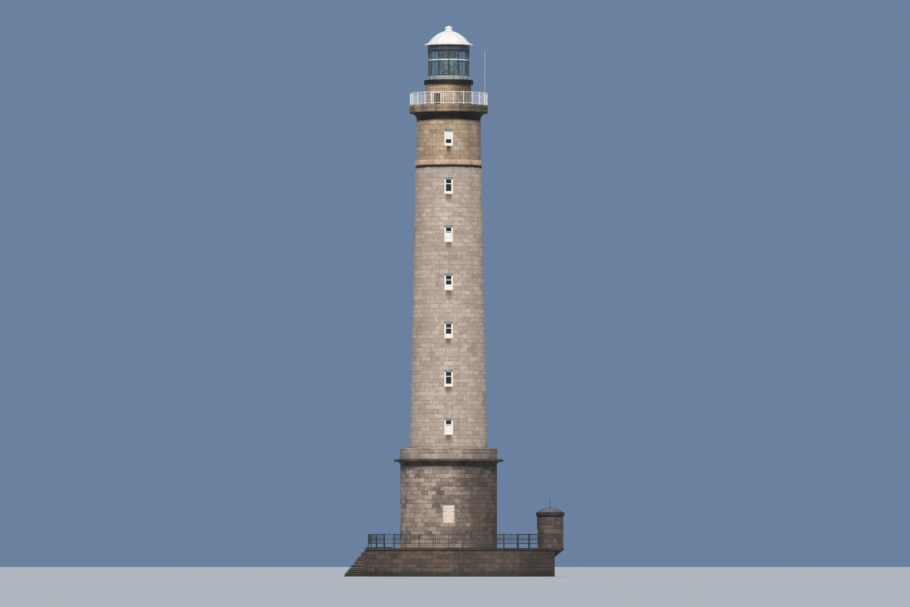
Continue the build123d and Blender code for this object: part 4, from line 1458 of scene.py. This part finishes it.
lens_levels = heights("lens")
lens_path = [(widest("lens", z) + brass_proud, z) for z in lens_levels]
waist = lens_levels[len(lens_levels) // 2 - 1]
waist_apothem = widest("lens", waist) * cos(panel_turn / 2)
bm = bmesh.new()
for turn in panel_turns:
    pipe(bm, lens_path, brass_radius, turn - panel_turn / 2, 6)
    ring = hoop(bm, eye_radius - rim_in, eye_radius + rim_out, -eye_depth, rim_out, 24)
    face_out(bm, ring, (waist_apothem, 0, waist), turn)
for r, z in (lens_path[0], lens_path[-1]):
    hoop(bm, r - end_ring_in, r + rim_out, z - end_ring_half, z + end_ring_half, panels)
finish(bm, "lens_frames", brass)
eye = [(0, -eye_depth), (eye_radius, -eye_depth)]
eye += [(eye_radius, 0.0), (0.11, 0.014), (0.08, 0.026), (0.04, 0.034), (0, eye_rise)]
bm = bmesh.new()
for turn in panel_turns:
    boss(bm, eye, (waist_apothem, 0, waist), turn, 24)
finish(bm, "lens_bullseyes", lens_glass)

foot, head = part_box("lens_pedestal")
base = [(-0.04, 0.0), (0.07, 0.0), (0.07, 0.02), (0.01, 0.035), (-0.04, 0.035)]
bm = bmesh.new()
lathe(bm, [(head.x + r, z) for r, z in base], (0, 0, foot.z), 48, closed=True)
hoop(bm, head.x - table_in, head.x + table_out, head.z - table_low, head.z - table_high, 48)
for k in range(ring_teeth):
    spot = (head.x + tooth_out, 0, head.z - tooth_drop)
    bar(bm, tooth_size, spot, turn=2 * pi * k / ring_teeth)
finish(bm, "pedestal_rings", lantern_black)

# Lantern roof
# A dark iron frieze with a moulded gutter carries twelve gores of copper sheet, painted white, with a
# rolled seam over each joint. The frieze's dark paint is partly painted shade under the eave. A ball
# ventilator with upright louvres stands on the crown.
frieze_bolts, frieze_bolt_rise = (-0.3, 0, 0.3), 0.12
seam_radius, seam_sink, seam_lift = 0.012, 0.004, 0.002
bead_thick, bead_in, bead_drop = 0.014, 0.016, 0.012
louvres, louvre_out, louvre_middle, louvre_tall = 20, 0.82, 0.33, 0.26
louvre_deep, louvre_wide = 0.02, 0.01
dome_white = painted(
    "dome_paint", (0.86, 0.85, 0.83), (0.3, 0.36, 0.3), grime=(0.5, 0.45, 0.4),
    chips=0.25, dirt=0.25, scale=9.0,
)
# Dark paint for the frieze: partly its own dark colour, partly painted shade under the roof's eave
frieze_paint = painted("frieze_paint", (0.06, 0.069, 0.083), (0.15, 0.06, 0.03), chips=0.4, dirt=0.2)
coat(frieze_paint, "lantern_frieze")
coat(dome_white, "lantern_roof")
frieze_foot, frieze_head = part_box("lantern_frieze")
frieze_corner = frieze_head.x
strip = [(-0.02, 0.0), (0.012, 0.0), (0.012, 0.02), (0.002, 0.03), (-0.02, 0.03)]
bm = bmesh.new()
for z, drop in ((frieze_foot.z, 1), (frieze_head.z, -1)):
    lathe(bm, [(frieze_corner + r, drop * h) for r, h in strip], (0, 0, z), sides, closed=True)
for turn in side_turns:
    face = frieze_corner * cos(side_turn / 2)
    bolt_row(bm, frieze_bolts, face, frieze_foot.z + frieze_bolt_rise, turn)
finish(bm, "frieze_mouldings", frieze_paint)

roof_path = [(widest("lantern_roof", z), z) for z in heights("lantern_roof")[1::2]]
eave_radius, eave_level = roof_path[0]
seam_path = [(r - seam_sink, z + seam_lift) for r, z in roof_path]
bm = bmesh.new()
for k in range(sides):
    pipe(bm, seam_path, seam_radius, side_turn * k)
bent_ring(bm, eave_radius - bead_in, bead_thick, sides, 8, eave_level - bead_drop)
finish(bm, "roof_seams", dome_white)

foot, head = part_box("vent_cowl")
rise = head.z - foot.z
profile = [
    (0, -0.02), (1.0, -0.02), (1.0, 0.08), (0.86, 0.14), (0.8, 0.2), (0.8, 0.46), (0.98, 0.5), (1.0, 0.54),
    (0.94, 0.66), (0.8, 0.77), (0.58, 0.86), (0.32, 0.91), (0.2, 0.92), (0.2, 0.96), (0.12, 0.995), (0, 1.0),
]
bm = bmesh.new()
lathe(bm, [(head.x * r, rise * z) for r, z in profile], (0, 0, foot.z), 40)
for k in range(louvres):
    spot = (louvre_out * head.x, 0, foot.z + louvre_middle * rise)
    bar(bm, (louvre_deep, louvre_wide, louvre_tall * rise), spot, turn=2 * pi * k / louvres)
cowl = finish(bm, "ball_ventilator", dome_white)
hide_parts("vent_cowl")

# Whip aerial
# A tapering pale whip in a ferrule, clamped to a post of the gallery railing by two iron blocks that
# the whip passes through.
clamp_size, clamp_in, clamp_ease, clamp_rises = (0.1, 0.05, 0.024), 0.02, 0.004, (0.12, 0.44)
aerial_paint = painted("aerial_paint", (0.6, 0.63, 0.64), (0.3, 0.3, 0.3), chips=0.2, dirt=0.3)
coat(aerial_paint, "aerial")
foot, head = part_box("aerial")
middle = (foot + head) / 2
ferrule = [
    (0, 0.0), (0.022, 0.0), (0.022, 0.3), (0.017, 0.32), (0.017, 0.5), (0.013, 0.52), (0.013, 0.6), (0, 0.6)
]
bm = bmesh.new()
lathe(bm, ferrule, (middle.x, middle.y, foot.z))
for rise in clamp_rises:
    spot = (hypot(middle.x, middle.y) - clamp_in, 0, foot.z + rise)
    bar(bm, clamp_size, spot, clamp_ease, atan2(middle.y, middle.x))
finish(bm, "aerial_clamps", aerial_paint)

# Stage
# A plain pale floor, and a blue backdrop that only the camera and reflections see. A broad soft lamp from
# the front and a plain pale sky light the model.
floor_radius = 900
floor_colour, backdrop_colour, sky_colour = (0.5, 0.54, 0.6), (0.145, 0.222, 0.35), (0.92, 0.96, 1.0)
eye, aim = Vector((0.3, -400, 0.65)), Vector((0.3, 0, 12.9))

floor_mesh = bpy.data.meshes.new("floor")
bm = bmesh.new()
bmesh.ops.create_circle(bm, cap_ends=True, segments=96, radius=floor_radius)
bm.to_mesh(floor_mesh)
bm.free()
floor = bpy.data.objects.new("floor", floor_mesh)
bpy.context.scene.collection.objects.link(floor)
floor_mesh.materials.append(new_material("floor_card", Roughness=0.9, Base_Color=floor_colour)[0])

world = bpy.data.worlds.new("sky")
bpy.context.scene.world = world
world.use_nodes = True
tree = world.node_tree
path = tree.nodes.new("ShaderNodeLightPath").outputs
seen = maths("MAXIMUM", path["Is Camera Ray"], path["Is Glossy Ray"])
seen = maths("MAXIMUM", seen, path["Is Transmission Ray"])
skylight = add_node(tree, "ShaderNodeBackground", {"Color": sky_colour, "Strength": 0.42})
backdrop = add_node(tree, "ShaderNodeBackground", {"Color": backdrop_colour, "Strength": 1.0})
mixed = add_node(tree, "ShaderNodeMixShader", {0: seen, 1: skylight.outputs[0], 2: backdrop.outputs[0]})
feed(tree.nodes["World Output"].inputs["Surface"], mixed.outputs[0])

lamp = bpy.data.objects.new("key", bpy.data.lights.new("key", "SUN"))
lamp.data.energy = 2.5
lamp.data.angle = radians(8)
lamp.data.color = (1.0, 0.96, 0.9)
lamp.rotation_euler = (radians(50), 0, radians(-3))
bpy.context.scene.collection.objects.link(lamp)

camera = bpy.data.objects.new("camera", bpy.data.cameras.new("camera"))
camera.location = eye
camera.rotation_euler = (aim - eye).to_track_quat("-Z", "Y").to_euler()
camera.data.sensor_width = 36
camera.data.lens = 335
camera.data.clip_end = 2000
bpy.context.scene.collection.objects.link(camera)
bpy.context.scene.camera = camera
bpy.context.scene.view_settings.view_transform = "Standard"
